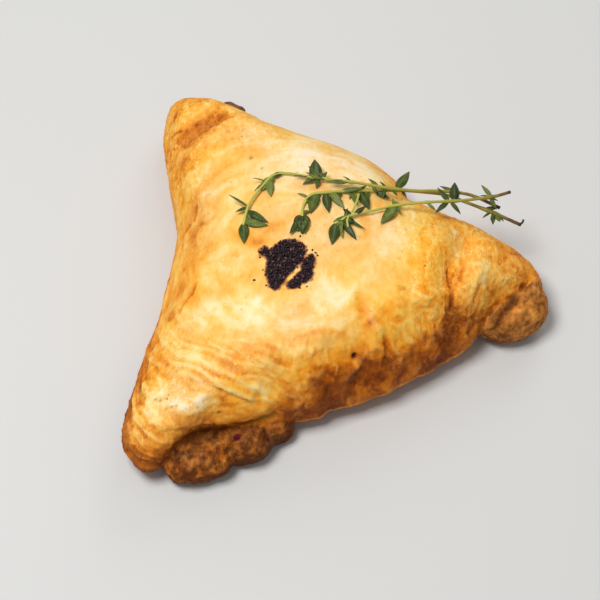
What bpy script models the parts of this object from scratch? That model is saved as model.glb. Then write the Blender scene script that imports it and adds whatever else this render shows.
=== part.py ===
"""Samsa: a baked triangular pastry parcel with a seed patch and three sprigs of thyme on top.

Units are metres, +Z is up, and the origin is on the floor under the middle of the whole box.
The shape is drawn in millimetres about the drawing's own origin, and BOX_MIDDLE, the plan middle
of the box in that drawing, is moved onto the origin when a mesh is finished.
"""

import math
import random

import bmesh
import bpy
import numpy as np
from mathutils import Matrix, Vector

MM = 0.001
BOX_MIDDLE = (1.5, 10.0)

# ---------------------------------------------------------------- parcel, driving sizes in mm
DOME_MIDDLE = (-14.0, 5.0)
DOME_TOP = 37.0
DOME_POWER = 0.66
EAR_TOP = 18.0
RIM_HEIGHT = 9.5
RIM_START_SIDE = 0.60
RIM_START_CORNER = 0.84
BASE_START_SIDE = 0.72
BASE_START_CORNER = 0.86
# the front side lifts off the floor: how far, in which direction, how wide and over which share
BELLY_LIFT = 2.2
BELLY_ANGLE = -62.0
BELLY_SPREAD = 30.0
BELLY_SHARES = (0.45, 0.85)
# the under side is a flat pad in the middle, and rises a little round it but for three feet
PAD_MIDDLE = (-15.7, 10.1)
PAD_RADII = (23.0, 34.0)
PAD_LIFT = 0.8
FEET = ((-38.0, 58.0), (46.0, 6.0), (-52.0, -38.0))
FOOT_HALF_WIDTH = 7.0
# the skin's mesh: its subdivisions, the share of it on top, and the share of each half off the rim
SKIN_LEVELS = 5
TOP_SHARE = 0.70
FLAT_SHARE = 0.62
OUTLINE_STEPS = 1440

# directions of the three corners from the dome's middle, and how wide a corner is, in degrees
CORNERS = (118.0, 4.0, -131.0)
CORNER_SPREAD = 24.0
# the dome's three sides: two plan points, with the parcel on their left, and the outward bow
SIDES = (
    ((72.0, 10.0), (-50.0, 90.0), 9.0),
    ((-60.0, 88.0), (-72.0, -58.0), -9.0),
    ((-66.0, -62.0), (74.0, -5.0), 19.0),
)

# the plan outline about the dome's middle: (direction in degrees, distance in mm)
OUTLINE = (
    (-176, 43.6), (-165, 46.5), (-157, 52.4), (-146, 62.0), (-140, 70.6), (-134, 78.6),
    (-130, 80.6), (-126, 80.4), (-123, 75.0), (-119, 63.2), (-114, 57.9), (-107, 54.9),
    (-101, 51.5), (-92, 48.7), (-82, 46.9), (-73, 45.9), (-64, 45.5), (-53, 47.3),
    (-40, 50.6), (-27, 56.2), (-13, 64.6), (-6, 71.0), (-1, 79.0), (3, 83.0), (8, 81.3),
    (14, 73.5), (24, 63.2), (31, 57.5), (36, 53.4), (42, 53.4), (50, 55.8), (62, 58.4),
    (80, 60.4), (89, 63.0), (97, 66.8), (103, 72.6), (108, 79.2), (113, 84.4), (117, 87.4),
    (120, 86.8), (124, 80.6), (128, 72.8), (134, 62.2), (142, 51.8), (151, 45.4), (161, 42.6),
    (172, 41.9),
)

# slow swells of the skin: (height in mm, turns per mm along x and y, phase)
SWELLS = ((0.24, 0.21, 0.12, 0.6), (0.20, -0.11, 0.24, 2.1), (0.16, 0.37, -0.22, 4.0))

# valleys pressed into the top: plan points, half width, depth and the height of the lip beside them
VALLEY_FADE = 0.18
LIP_PLACE = 1.6
VALLEYS = (
    (((-56.0, 52.0), (-49.0, 60.0), (-40.0, 66.5), (-31.0, 72.5)), 4.2, 2.2, 0.8),
    (((44.0, 20.0), (42.5, 12.0), (39.0, 3.0), (37.0, -6.0), (35.0, -18.0)), 4.4, 2.6, 1.2),
    (((-63.0, -16.0), (-50.0, -22.0), (-36.0, -29.5), (-22.0, -37.0), (-10.0, -42.0)), 5.2, 1.6, 0.6),
)

# rolls of dough that stick out under the edge: (middle, half sizes, turn in degrees)
ROLL_LEVELS = 3
ROLL_SQUARENESS = 0.88
ROLL_BASE = 0.9
ROLLS = (
    ((58.6, 0.2, 8.6), (13.2, 11.4, 9.4), 24.0),
    ((-44.5, -54.4, 6.0), (11.6, 8.4, 7.0), 10.0),
    ((-28.8, -48.6, 5.6), (9.0, 7.2, 6.6), 16.0),
    ((-19.5, -43.4, 5.6), (6.0, 5.2, 6.0), 25.0),
    ((-35.6, 78.4, 7.4), (3.8, 2.8, 2.8), -25.0),
)

# folded flaps under the parcel meet in a three-armed seam
SEAM_MIDDLE = (-12.0, 2.0)
SEAM_ENDS = ((-56.0, 12.0), (8.0, -34.0), (6.0, 54.0))
SEAM_HALF_WIDTH = 2.6
SEAM_DEPTH = 1.6

# ---------------------------------------------------------------- seeds
SEED_HALF = (1.0, 0.68, 0.62)
SEED_ROUNDNESS = 1
SEED_PITCH = 1.75
SEED_ROW_PITCH = 1.52
SEED_LINES = range(-16, 16)
SEED_MIDDLE_X = -15.0
SEED_JITTER = 0.22
SEED_SINK = 0.22
SEED_RANDOM = 7
# the two dark blots that the seeds fill, as plan points
SEED_BLOTS = (
    ((-24.4, 4.2), (-23.2, 6.8), (-18.5, 7.8), (-15.2, 8.9), (-11.5, 7.7), (-9.9, 5.6),
     (-10.2, 3.4), (-12.4, 1.6), (-13.0, -1.8), (-17.0, -5.4), (-18.5, -8.2), (-21.0, -8.0),
     (-21.8, -3.1), (-21.5, 2.0)),
    ((-6.2, 3.8), (-7.2, 2.0), (-6.9, -1.4), (-8.1, -3.3), (-8.0, -5.6), (-9.8, -7.8),
     (-12.2, -9.2), (-15.4, -8.8), (-15.2, -6.8), (-12.2, -3.8), (-10.2, -1.0), (-9.8, 2.4)),
)

# ---------------------------------------------------------------- thyme
WELD_DISTANCE = 0.001
STEM_ROUNDNESS = 1
STEM_STEPS = 2
LEAF_STEPS = 5
STEM_CLEAR = 0.4
LEAF_CLEAR = 0.5
LEAF_SLIM = 0.19
LEAF_BASE_WIDTH = 1.25
LEAF_TAPER = 0.55
LEAF_THICK = 0.30
LEAF_FOLD = 0.30
LEAF_DROOP = 0.10
LEAF_TURN_STEP = 2.0
LEAF_TURNS = 20
# each sprig: its stem from the cut end (plan place and height), its radius at cut and tip, and its
# leaves as (share along the stem, heading in degrees, length, climb in degrees)
SPRIGS = {
    "thyme_sprig_long": {
        "stem": (
            (55.1, 26.1, 30.0), (46.9, 29.6, 31.6), (41.2, 30.4, 32.8), (33.8, 29.9, 34.6),
            (26.4, 29.6, 35.2), (15.8, 30.3, 36.2), (7.6, 31.6, 36.9), (-0.9, 32.8, 36.9),
            (-8.4, 34.2, 36.6), (-15.2, 36.0, 36.0), (-20.2, 35.6, 35.6), (-23.8, 31.4, 35.7),
            (-26.6, 27.4, 35.6), (-28.6, 23.4, 35.5), (-29.6, 19.0, 35.4), (-30.2, 16.1, 35.2),
        ),
        "radius": (0.62, 0.42),
        "leaves": (
            (0.16, 154, 5.6, 12), (0.36, 61, 8.9, 4), (0.42, 135, 4.6, 14), (0.52, -176, 7.8, 16),
            (0.63, 95, 6.4, 18), (0.655, 172, 5.2, 10), (0.79, 21, 5.6, 14), (0.80, -83, 6.8, 2),
            (0.81, 163, 4.8, 10), (0.815, -152, 5.0, 4), (0.925, 147, 7.6, 8),
            (0.93, -162, 4.4, 6), (0.945, -37, 8.6, 5), (0.985, -13, 8.2, 2), (0.99, -89, 8.0, -3),
        ),
    },
    "thyme_sprig_middle": {
        "stem": (
            (62.1, 21.3, 27.0), (53.5, 24.9, 28.5), (44.5, 28.1, 30.0), (36.9, 30.4, 31.4),
            (30.0, 30.8, 32.4), (22.0, 31.0, 33.2), (13.0, 30.0, 34.6), (4.6, 29.1, 35.7),
            (-1.6, 28.1, 36.6), (-7.6, 26.9, 37.0), (-10.2, 22.9, 37.4), (-10.8, 18.8, 37.7),
            (-10.6, 16.6, 37.8),
        ),
        "radius": (0.64, 0.42),
        "leaves": (
            (0.105, -49, 3.4, 0), (0.12, -94, 4.2, -6), (0.13, -150, 3.6, 0), (0.16, 5, 5.4, 4),
            (0.61, -34, 5.8, 6), (0.67, -71, 8.6, 8), (0.70, -88, 6.6, 2), (0.79, -61, 8.0, 3),
            (0.81, -82, 8.4, 6), (0.845, -106, 8.8, 3), (0.87, -131, 4.4, 3),
            (0.885, 145, 4.2, 10), (0.985, -122, 8.0, 8), (0.975, -60, 5.2, 8),
        ),
    },
    "thyme_sprig_short": {
        "stem": (
            (58.4, 29.9, 34.0), (53.0, 28.0, 34.2), (47.9, 26.9, 34.6), (39.9, 25.4, 35.4),
            (33.0, 24.6, 36.2), (26.3, 24.2, 36.0), (19.1, 23.1, 36.0), (12.6, 20.9, 36.7),
            (6.2, 18.5, 37.9), (2.4, 16.6, 38.1), (-0.2, 14.9, 38.2),
        ),
        "radius": (0.58, 0.40),
        "leaves": (
            (0.11, 120, 6.0, 8), (0.115, 160, 3.8, 16), (0.12, -60, 4.8, -4), (0.32, 86, 8.0, 10),
            (0.345, 130, 6.2, 14), (0.35, -144, 6.0, 0), (0.34, -51, 5.6, 0), (0.47, -49, 4.4, 0),
            (0.61, 150, 3.8, 16), (0.635, -127, 8.8, 4), (0.90, -150, 4.4, 8),
            (0.93, -41, 7.4, 4), (0.955, -62, 9.0, 3), (0.975, -80, 6.6, 8), (0.99, -100, 8.6, 1),
        ),
    },
}
# the rolled bud at the tip of the middle sprig: its half sizes
BUD_SPRIG = "thyme_sprig_middle"
BUD_HALF = (2.0, 2.5, 1.5)
BUD_ROUNDNESS = 2

# ---------------------------------------------------------------- plain colours and roughness
DOUGH_COLOUR = (0.78, 0.42, 0.13)
DOUGH_ROUGHNESS = 0.45
THYME_COLOUR = (0.13, 0.17, 0.04)
THYME_ROUGHNESS = 0.55


def smoothstep(low, high, value):
    """0 below low, 1 above high and a smooth rise between."""
    t = np.clip((value - low) / (high - low), 0.0, 1.0)
    return t * t * (3.0 - 2.0 * t)


def turn_apart(angle, other):
    """The signed angle in degrees from other to angle, between -180 and 180."""
    return (angle - other + 180.0) % 360.0 - 180.0


def outline_radius(angle):
    """Distance in mm from the dome's middle to the edge, by a smooth closed curve."""
    knots = np.array([a for a, _ in OUTLINE], float)
    values = np.array([r for _, r in OUTLINE], float)
    knots = np.concatenate((knots[-2:] - 360.0, knots, knots[:2] + 360.0))
    values = np.concatenate((values[-2:], values, values[:2]))
    slopes = np.zeros_like(values)
    slopes[1:-1] = (values[2:] - values[:-2]) / (knots[2:] - knots[:-2])
    angle = (np.asarray(angle, float) - knots[1]) % 360.0 + knots[1]
    i = np.clip(np.searchsorted(knots, angle, side="right") - 1, 1, len(knots) - 3)
    span = knots[i + 1] - knots[i]
    t = (angle - knots[i]) / span
    start = values[i] * (1 + 2 * t) * (1 - t) ** 2 + slopes[i] * span * t * (1 - t) ** 2
    end = values[i + 1] * t * t * (3 - 2 * t) - slopes[i + 1] * span * t * t * (1 - t)
    return start + end


def corner_share(angle):
    """How much a direction belongs to a corner, from 0 to 1."""
    share = [np.exp(-(turn_apart(angle, corner) / CORNER_SPREAD) ** 2) for corner in CORNERS]
    return np.minimum(sum(share), 1.0)


def side_product(x, y):
    """Product of the distances from the three bowed sides, which swells evenly like a cushion."""
    product = np.ones_like(x)
    for (ax, ay), (bx, by), bow in SIDES:
        length = math.hypot(bx - ax, by - ay)
        dx, dy = (bx - ax) / length, (by - ay) / length
        along = np.clip(((x - ax) * dx + (y - ay) * dy) / length, 0.0, 1.0)
        inward = dx * (y - ay) - dy * (x - ax)
        product = product * np.maximum(inward + 4.0 * bow * along * (1.0 - along), 0.0)
    return product


def line_distance(x, y, points):
    """Distance to a chain of plan points, signed by side, and the place along it (0 to 1)."""
    best = np.full_like(x, 1e9)
    side = np.ones_like(x)
    along = np.zeros_like(x)
    count = len(points) - 1
    for k, ((ax, ay), (bx, by)) in enumerate(zip(points[:-1], points[1:])):
        dx, dy = bx - ax, by - ay
        t = np.clip(((x - ax) * dx + (y - ay) * dy) / (dx * dx + dy * dy), 0.0, 1.0)
        gap = np.hypot(x - ax - t * dx, y - ay - t * dy)
        nearer = gap < best
        best = np.where(nearer, gap, best)
        side = np.where(nearer, np.sign(dx * (y - ay) - dy * (x - ax)), side)
        along = np.where(nearer, (k + t) / count, along)
    return best * side, along


SWELL_FULL = float(side_product(np.array([DOME_MIDDLE[0]]), np.array([DOME_MIDDLE[1]]))[0])


def top_height(x, y):
    """Height in mm of the parcel's upper skin over a plan point."""
    px, py = x - DOME_MIDDLE[0], y - DOME_MIDDLE[1]
    angle = np.degrees(np.arctan2(py, px))
    edge = outline_radius(angle)
    t = np.minimum(np.hypot(px, py) / edge, 1.0)
    share = corner_share(angle)
    swell = (side_product(x, y) / SWELL_FULL) ** DOME_POWER
    skin = EAR_TOP + (DOME_TOP - EAR_TOP) * swell
    for height, turn_x, turn_y, phase in SWELLS:
        skin = skin + height * np.sin(turn_x * x + turn_y * y + phase)
    for points, width, depth, lip in VALLEYS:
        gap, along = line_distance(x, y, points)
        fade = smoothstep(0.0, VALLEY_FADE, along) * smoothstep(1.0, 1.0 - VALLEY_FADE, along)
        skin = skin - depth * fade * np.exp(-(gap / width) ** 2)
        skin = skin + lip * fade * np.exp(-((np.abs(gap) - LIP_PLACE * width) / width) ** 2)
    rim_start = RIM_START_SIDE + share * (RIM_START_CORNER - RIM_START_SIDE)
    into = np.clip((t - rim_start) / (1.0 - rim_start), 0.0, 1.0)
    return RIM_HEIGHT + (skin - RIM_HEIGHT) * np.sqrt(1.0 - into ** 2)


def base_height(x, y):
    """Height in mm of the under skin: a flat pad and three feet, lifted at the belly and seam."""
    px, py = x - DOME_MIDDLE[0], y - DOME_MIDDLE[1]
    angle = np.degrees(np.arctan2(py, px))
    t = np.minimum(np.hypot(px, py) / outline_radius(angle), 1.0)
    share = corner_share(angle)
    base_start = BASE_START_SIDE + share * (BASE_START_CORNER - BASE_START_SIDE)
    into = np.clip((t - base_start) / (1.0 - base_start), 0.0, 1.0)
    belly = np.exp(-(turn_apart(angle, BELLY_ANGLE) / BELLY_SPREAD) ** 2)
    height = BELLY_LIFT * belly * smoothstep(*BELLY_SHARES, t)
    from_pad = np.hypot(x - PAD_MIDDLE[0], y - PAD_MIDDLE[1])
    lift = PAD_LIFT * smoothstep(*PAD_RADII, from_pad)
    for foot_x, foot_y in FEET:
        lift = lift * (1.0 - np.exp(-(np.hypot(x - foot_x, y - foot_y) / FOOT_HALF_WIDTH) ** 2))
    height = height + lift
    for end in SEAM_ENDS:
        gap, _ = line_distance(x, y, (SEAM_MIDDLE, end))
        height = height + SEAM_DEPTH * smoothstep(SEAM_HALF_WIDTH, 0.0, np.abs(gap)) * (1.0 - into)
    return height + (RIM_HEIGHT - height) * (1.0 - np.sqrt(1.0 - into ** 2))


def arc_directions(turn):
    """Directions for evenly spaced points round the outline, for turns of 0 to 1."""
    angles = np.linspace(-180.0, 180.0, OUTLINE_STEPS + 1)
    radius = outline_radius(angles)
    x, y = radius * np.cos(np.radians(angles)), radius * np.sin(np.radians(angles))
    walked = np.concatenate(([0.0], np.cumsum(np.hypot(np.diff(x), np.diff(y)))))
    return np.interp(turn, walked / walked[-1], angles)


def mesh_object(name, bm):
    """An object, still drawn in mm, that holds a bmesh."""
    mesh = bpy.data.meshes.new(name)
    bm.to_mesh(mesh)
    bm.free()
    piece = bpy.data.objects.new(name, mesh)
    bpy.context.collection.objects.link(piece)
    return piece


def settle(piece, material):
    """Bring a finished piece from the drawing in mm to metres over the origin, and finish it."""
    place = Matrix.Scale(MM, 4) @ Matrix.Translation((-BOX_MIDDLE[0], -BOX_MIDDLE[1], 0.0))
    piece.data.transform(place)
    piece.data.materials.clear()
    piece.data.materials.append(material)
    piece.data.shade_smooth()


def surface(name, colour, roughness):
    """A Principled material with a plain colour."""
    material = bpy.data.materials.new(name)
    material.use_nodes = True
    shader = material.node_tree.nodes["Principled BSDF"]
    shader.inputs["Base Color"].default_value = (*colour, 1.0)
    shader.inputs["Roughness"].default_value = roughness
    shader.inputs["Metallic"].default_value = 0.0
    return material


def parcel_skin():
    """The puffed parcel: a ball of even triangles laid over the outline, the dome and the base."""
    bm = bmesh.new()
    bmesh.ops.create_icosphere(bm, subdivisions=SKIN_LEVELS, radius=1.0)
    ball = np.array([v.co for v in bm.verts])
    turn = np.arctan2(ball[:, 1], ball[:, 0]) / (2.0 * math.pi) + 0.5
    angle = arc_directions(turn)
    # area fraction from the pole of the half that a point belongs to
    area = (1.0 - ball[:, 2]) / 2.0
    upper = area < TOP_SHARE
    from_pole = np.where(upper, area / TOP_SHARE, (1.0 - area) / (1.0 - TOP_SHARE))
    share = corner_share(angle)
    top_start = RIM_START_SIDE + share * (RIM_START_CORNER - RIM_START_SIDE)
    base_start = BASE_START_SIDE + share * (BASE_START_CORNER - BASE_START_SIDE)
    start = np.where(upper, top_start, base_start)
    flat = start * np.sqrt(np.minimum(from_pole / FLAT_SHARE, 1.0))
    bend = np.clip((from_pole - FLAT_SHARE) / (1.0 - FLAT_SHARE), 0.0, 1.0) * math.pi / 2.0
    t = flat + (1.0 - start) * np.sin(bend)
    radius = t * outline_radius(angle)
    x = DOME_MIDDLE[0] + radius * np.cos(np.radians(angle))
    y = DOME_MIDDLE[1] + radius * np.sin(np.radians(angle))
    z = np.where(upper, top_height(x, y), base_height(x, y))
    for foot_x, foot_y in FEET:
        z[np.argmin(np.hypot(x - foot_x, y - foot_y) + z)] = 0.0
    for vert, place in zip(bm.verts, np.stack((x, y, z), axis=1)):
        vert.co = place
    return bm


def dough_roll(middle, half, turn):
    """One roll of dough, an egg shape cut flat where it meets the floor."""
    bm = bmesh.new()
    bmesh.ops.create_icosphere(bm, subdivisions=ROLL_LEVELS, radius=1.0)
    for vert in bm.verts:
        vert.co = [math.copysign(abs(c) ** ROLL_SQUARENESS, c) for c in vert.co]
    bmesh.ops.scale(bm, vec=half, verts=bm.verts)
    bmesh.ops.rotate(bm, matrix=Matrix.Rotation(math.radians(turn), 3, "Z"), verts=bm.verts)
    bmesh.ops.translate(bm, vec=middle, verts=bm.verts)
    for vert in bm.verts:
        vert.co.z = max(vert.co.z, ROLL_BASE)
    return bm


def inside(point, blot):
    """Whether a plan point is inside a closed chain of points."""
    x, y = point
    odd = False
    for (ax, ay), (bx, by) in zip(blot, blot[1:] + blot[:1]):
        if (ay > y) != (by > y) and x < (bx - ax) * (y - ay) / (by - ay) + ax:
            odd = not odd
    return odd


def seed_places():
    """Plan points of the seeds: a loose hexagonal layout kept where the blots are."""
    draw = random.Random(SEED_RANDOM)
    places = []
    for row in SEED_LINES:
        for column in SEED_LINES:
            x = SEED_MIDDLE_X + SEED_PITCH * (column + 0.5 * (row % 2))
            x += draw.uniform(-SEED_JITTER, SEED_JITTER)
            y = SEED_ROW_PITCH * row + draw.uniform(-SEED_JITTER, SEED_JITTER)
            turn = draw.uniform(0.0, math.pi)
            if any(inside((x, y), blot) for blot in SEED_BLOTS):
                places.append((x, y, turn))
    return places


def seed(x, y, turn):
    """One seed, an egg of twenty faces sunk a little into the skin."""
    bm = bmesh.new()
    bmesh.ops.create_icosphere(bm, subdivisions=SEED_ROUNDNESS, radius=1.0)
    bmesh.ops.scale(bm, vec=SEED_HALF, verts=bm.verts)
    bmesh.ops.rotate(bm, matrix=Matrix.Rotation(turn, 3, "Z"), verts=bm.verts)
    height = float(top_height(np.array([x]), np.array([y]))[0])
    bmesh.ops.translate(bm, vec=(x, y, height + SEED_HALF[2] - SEED_SINK), verts=bm.verts)
    return bm


def fuse(piece, parts):
    """Join a list of closed objects to a piece by one Boolean union, applied."""
    group = bpy.data.collections.new("to_fuse")
    bpy.context.scene.collection.children.link(group)
    for part in parts:
        bpy.context.collection.objects.unlink(part)
        group.objects.link(part)
    union = piece.modifiers.new("Union", "BOOLEAN")
    union.operation = "UNION"
    union.operand_type = "COLLECTION"
    union.collection = group
    union.solver = "EXACT"
    bpy.context.view_layer.update()
    ready = piece.evaluated_get(bpy.context.evaluated_depsgraph_get())
    joined = bpy.data.meshes.new_from_object(ready)
    piece.modifiers.clear()
    piece.data = joined
    for part in parts:
        bpy.data.objects.remove(part)
    bpy.data.collections.remove(group)


def keep_largest(piece):
    """Leave only the outer shell of a piece: loose scraps and sealed hollows go."""
    bm = bmesh.new()
    bm.from_mesh(piece.data)
    bmesh.ops.triangulate(bm, faces=bm.faces)
    left = set(bm.verts)
    shells = []
    while left:
        stack = [left.pop()]
        shell = set(stack)
        while stack:
            for edge in stack.pop().link_edges:
                for vert in edge.verts:
                    if vert in left:
                        left.remove(vert)
                        shell.add(vert)
                        stack.append(vert)
        shells.append(shell)
    shells.sort(key=len, reverse=True)
    bmesh.ops.delete(bm, geom=[v for shell in shells[1:] for v in shell], context="VERTS")
    bm.to_mesh(piece.data)
    bm.free()


def make_crust():
    """The parcel with its under rolls and its seeds, one solid."""
    dough = surface("baked_dough", DOUGH_COLOUR, DOUGH_ROUGHNESS)
    crust = mesh_object("crust", parcel_skin())
    parts = [mesh_object(f"roll_{k}", dough_roll(*roll)) for k, roll in enumerate(ROLLS)]
    parts += [mesh_object(f"seed_{k}", seed(*place)) for k, place in enumerate(seed_places())]
    fuse(crust, parts)
    keep_largest(crust)
    settle(crust, dough)


def smooth_route(points, steps):
    """Points along a smooth curve that passes through a chain of points, some steps to a span."""
    points = np.array(points)
    ends = np.concatenate(([2 * points[0] - points[1]], points, [2 * points[-1] - points[-2]]))
    route = []
    for a, b, c, d in zip(ends[:-3], ends[1:-2], ends[2:-1], ends[3:]):
        for t in np.arange(steps) / steps:
            route.append(0.5 * (2 * b + (c - a) * t + (2 * a - 5 * b + 4 * c - d) * t ** 2
                                + (3 * b - a - 3 * c + d) * t ** 3))
    route.append(points[-1])
    return np.array(route)


def stem_mesh(route, radii):
    """A round stem along a route, from a bevelled curve with closed ends."""
    curve = bpy.data.curves.new("stem", "CURVE")
    curve.dimensions = "3D"
    curve.bevel_depth = 1.0
    curve.bevel_resolution = STEM_ROUNDNESS
    curve.use_fill_caps = True
    spline = curve.splines.new("POLY")
    spline.points.add(len(route) - 1)
    for point, place, radius in zip(spline.points, route, radii):
        point.co = (*place, 1.0)
        point.radius = radius
    holder = bpy.data.objects.new("stem", curve)
    bpy.context.collection.objects.link(holder)
    bpy.context.view_layer.update()
    ready = holder.evaluated_get(bpy.context.evaluated_depsgraph_get())
    bm = bmesh.new()
    bm.from_mesh(ready.to_mesh())
    bpy.data.objects.remove(holder)
    bmesh.ops.remove_doubles(bm, verts=bm.verts, dist=WELD_DISTANCE)
    return bm


def cover_height(x, y):
    """Height of the skin, or of the seeds where they lie on it."""
    seeds = np.array(seed_places())[:, :2]
    gaps = np.hypot(x[:, None] - seeds[:, 0], y[:, None] - seeds[:, 1]).min(axis=1)
    return top_height(x, y) + np.where(gaps < 2.0 * SEED_HALF[0], 2.0 * SEED_HALF[2], 0.0)


def least_clearance(bm):
    """The smallest height of a small shape's points over what lies under them."""
    places = np.array([v.co for v in bm.verts])
    return (places[:, 2] - cover_height(places[:, 0], places[:, 1])).min()


def leaf_mesh(base, heading, length, climb):
    """A thin folded leaf: a four-sided ball flattened along its middle, both faces split alike.

    It climbs from its base as steeply as asked, or as it must to lie clear of the skin.
    """
    bm = bmesh.new()
    bmesh.ops.create_uvsphere(bm, u_segments=4, v_segments=LEAF_STEPS, radius=1.0)
    half_width = length * LEAF_SLIM
    for vert in bm.verts:
        across, thick, along = vert.co
        share = (1.0 + along) / 2.0
        y = across * half_width * (LEAF_BASE_WIDTH - LEAF_TAPER * share)
        z = thick * LEAF_THICK + LEAF_FOLD * abs(y) - LEAF_DROOP * length * share ** 2
        vert.co = (share * length, y, z)
    bmesh.ops.recalc_face_normals(bm, faces=bm.faces)
    bmesh.ops.rotate(bm, matrix=Matrix.Rotation(math.radians(heading), 3, "Z"), verts=bm.verts)
    bmesh.ops.translate(bm, vec=base, verts=bm.verts)
    hinge = Matrix.Rotation(math.radians(heading), 3, "Z") @ Vector((0.0, -1.0, 0.0))
    step = Matrix.Rotation(math.radians(climb), 3, hinge)
    bmesh.ops.rotate(bm, cent=base, matrix=step, verts=bm.verts)
    step = Matrix.Rotation(math.radians(LEAF_TURN_STEP), 3, hinge)
    for _ in range(LEAF_TURNS):
        if least_clearance(bm) > LEAF_CLEAR:
            break
        bmesh.ops.rotate(bm, cent=base, matrix=step, verts=bm.verts)
    return bm


def bud_mesh(tip):
    """The rolled bud that ends one sprig, lying clear of the skin."""
    bm = bmesh.new()
    bmesh.ops.create_icosphere(bm, subdivisions=BUD_ROUNDNESS, radius=1.0)
    bmesh.ops.scale(bm, vec=BUD_HALF, verts=bm.verts)
    bmesh.ops.translate(bm, vec=tip, verts=bm.verts)
    lift = max(LEAF_CLEAR - least_clearance(bm), 0.0)
    bmesh.ops.translate(bm, vec=(0.0, 0.0, lift), verts=bm.verts)
    return bm


def make_sprig(name, form):
    """One sprig of thyme: the stem with its leaves fused to it, lying just clear of the skin."""
    green = surface(f"{name}_green", THYME_COLOUR, THYME_ROUGHNESS)
    route = smooth_route(form["stem"], STEM_STEPS)
    radii = np.linspace(*form["radius"], len(route))
    floor = top_height(route[:, 0], route[:, 1]) + STEM_CLEAR + radii
    route[:, 2] = np.maximum(route[:, 2], floor)
    sprig = mesh_object(name, stem_mesh(route, radii))
    walked = np.concatenate(([0.0], np.cumsum(np.linalg.norm(np.diff(route, axis=0), axis=1))))
    parts = []
    for k, (share, heading, length, climb) in enumerate(form["leaves"]):
        base = [np.interp(share * walked[-1], walked, route[:, axis]) for axis in range(3)]
        parts.append(mesh_object(f"{name}_leaf_{k}", leaf_mesh(base, heading, length, climb)))
    if name == BUD_SPRIG:
        parts.append(mesh_object(f"{name}_bud", bud_mesh(route[-1])))
    fuse(sprig, parts)
    keep_largest(sprig)
    settle(sprig, green)


def main():
    for old in list(bpy.data.objects):
        bpy.data.objects.remove(old)
    make_crust()
    for name, form in SPRIGS.items():
        make_sprig(name, form)


main()
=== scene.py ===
"""Looks of the samsa: a baked triangular pastry parcel, its seed patch and three sprigs of thyme.

Shapes are drawn in millimetres, as the part's solids are. settle() brings each finished mesh to
metres, with the drawing's BOX_MIDDLE over the origin.
"""

import math
import random

import bmesh
import bpy
import numpy as np
from mathutils import Euler, Matrix, Vector
from mathutils.bvhtree import BVHTree


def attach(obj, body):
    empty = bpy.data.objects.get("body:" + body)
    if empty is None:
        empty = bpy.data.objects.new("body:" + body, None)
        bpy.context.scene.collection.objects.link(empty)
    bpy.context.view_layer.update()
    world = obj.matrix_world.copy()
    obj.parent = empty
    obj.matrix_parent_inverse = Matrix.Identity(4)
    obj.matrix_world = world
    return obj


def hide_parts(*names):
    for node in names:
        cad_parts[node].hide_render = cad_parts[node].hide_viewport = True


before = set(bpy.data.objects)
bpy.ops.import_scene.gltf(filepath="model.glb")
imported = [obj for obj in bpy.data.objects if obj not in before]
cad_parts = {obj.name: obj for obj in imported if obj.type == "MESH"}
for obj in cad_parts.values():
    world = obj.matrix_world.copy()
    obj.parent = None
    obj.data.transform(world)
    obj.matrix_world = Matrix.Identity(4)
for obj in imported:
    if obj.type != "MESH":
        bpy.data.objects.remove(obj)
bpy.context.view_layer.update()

MM = 0.001
BOX_MIDDLE = (1.5, 10)

# ---------------------------------------------------------------- the parcel's form, in mm
DOME_MIDDLE = (-14, 5)
DOME_TOP = 37
DOME_POWER = 0.66
EAR_TOP = 18
RIM_HEIGHT = 9.5
# share of the way out where the top and the base bend round, at the sides and at the corners
RIM_START = (0.6, 0.84)
BASE_START = (0.72, 0.86)
BELLY_LIFT = 2.2
BELLY_ANGLE = -62
BELLY_SPREAD = 30
BELLY_SHARES = (0.45, 0.85)
PAD_MIDDLE = (-15.7, 10.1)
PAD_RADII = (23, 34)
PAD_LIFT = 0.8
FEET = ((-38, 58), (46, 6), (-52, -38))
FOOT_HALF_WIDTH = 7
SKIN_LEVELS = 7
TOP_SHARE = 0.7
FLAT_SHARE = 0.62
OUTLINE_STEPS = 1440
VOXEL = 0.665
SMOOTH_PASSES = 3

CORNERS = (118, 4, -131)
CORNER_SPREAD = 24
SIDES = (
    ((72, 10), (-50, 90), 9),
    ((-60, 88), (-72, -58), -9),
    ((-66, -62), (74, -5), 19),
)
OUTLINE = (
    (-176, 43.6), (-165, 46.5), (-157, 52.4), (-146, 62), (-140, 70.6), (-134, 78.6), (-130, 80.6),
    (-126, 80.4), (-123, 75), (-119, 63.2), (-114, 57.9), (-107, 54.9), (-101, 51.5), (-92, 48.7),
    (-82, 46.9), (-73, 45.9), (-64, 45.5), (-53, 47.3), (-40, 50.6), (-27, 56.2), (-13, 64.6), (-6, 71),
    (-1, 79), (3, 83), (8, 81.3), (14, 73.5), (24, 63.2), (31, 57.5), (36, 53.4), (42, 53.4), (50, 55.8),
    (62, 58.4), (80, 60.4), (89, 63), (97, 66.8), (103, 72.6), (108, 79.2), (113, 84.4), (117, 87.4),
    (120, 86.8), (124, 80.6), (128, 72.8), (134, 62.2), (142, 51.8), (151, 45.4), (161, 42.6),
    (172, 41.9),
)
SWELLS = ((0.24, 0.21, 0.12, 0.6), (0.2, -0.11, 0.24, 2.1), (0.16, 0.37, -0.22, 4))
VALLEY_FADE = 0.18
LIP_PLACE = 1.6
VALLEYS = (
    (((-56, 52), (-49, 60), (-40, 66.5), (-31, 72.5)), 4.2, 2.2, 0.8),
    (((44, 20), (42.5, 12), (39, 3), (37, -6), (35, -18)), 4.4, 2.6, 1.2),
    (((-63, -16), (-50, -22), (-36, -29.5), (-22, -37), (-10, -42)), 5.2, 1.6, 0.6),
)
ROLL_LEVELS = 5
ROLL_SQUARENESS = 0.88
ROLL_BASE = 0.9
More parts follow.
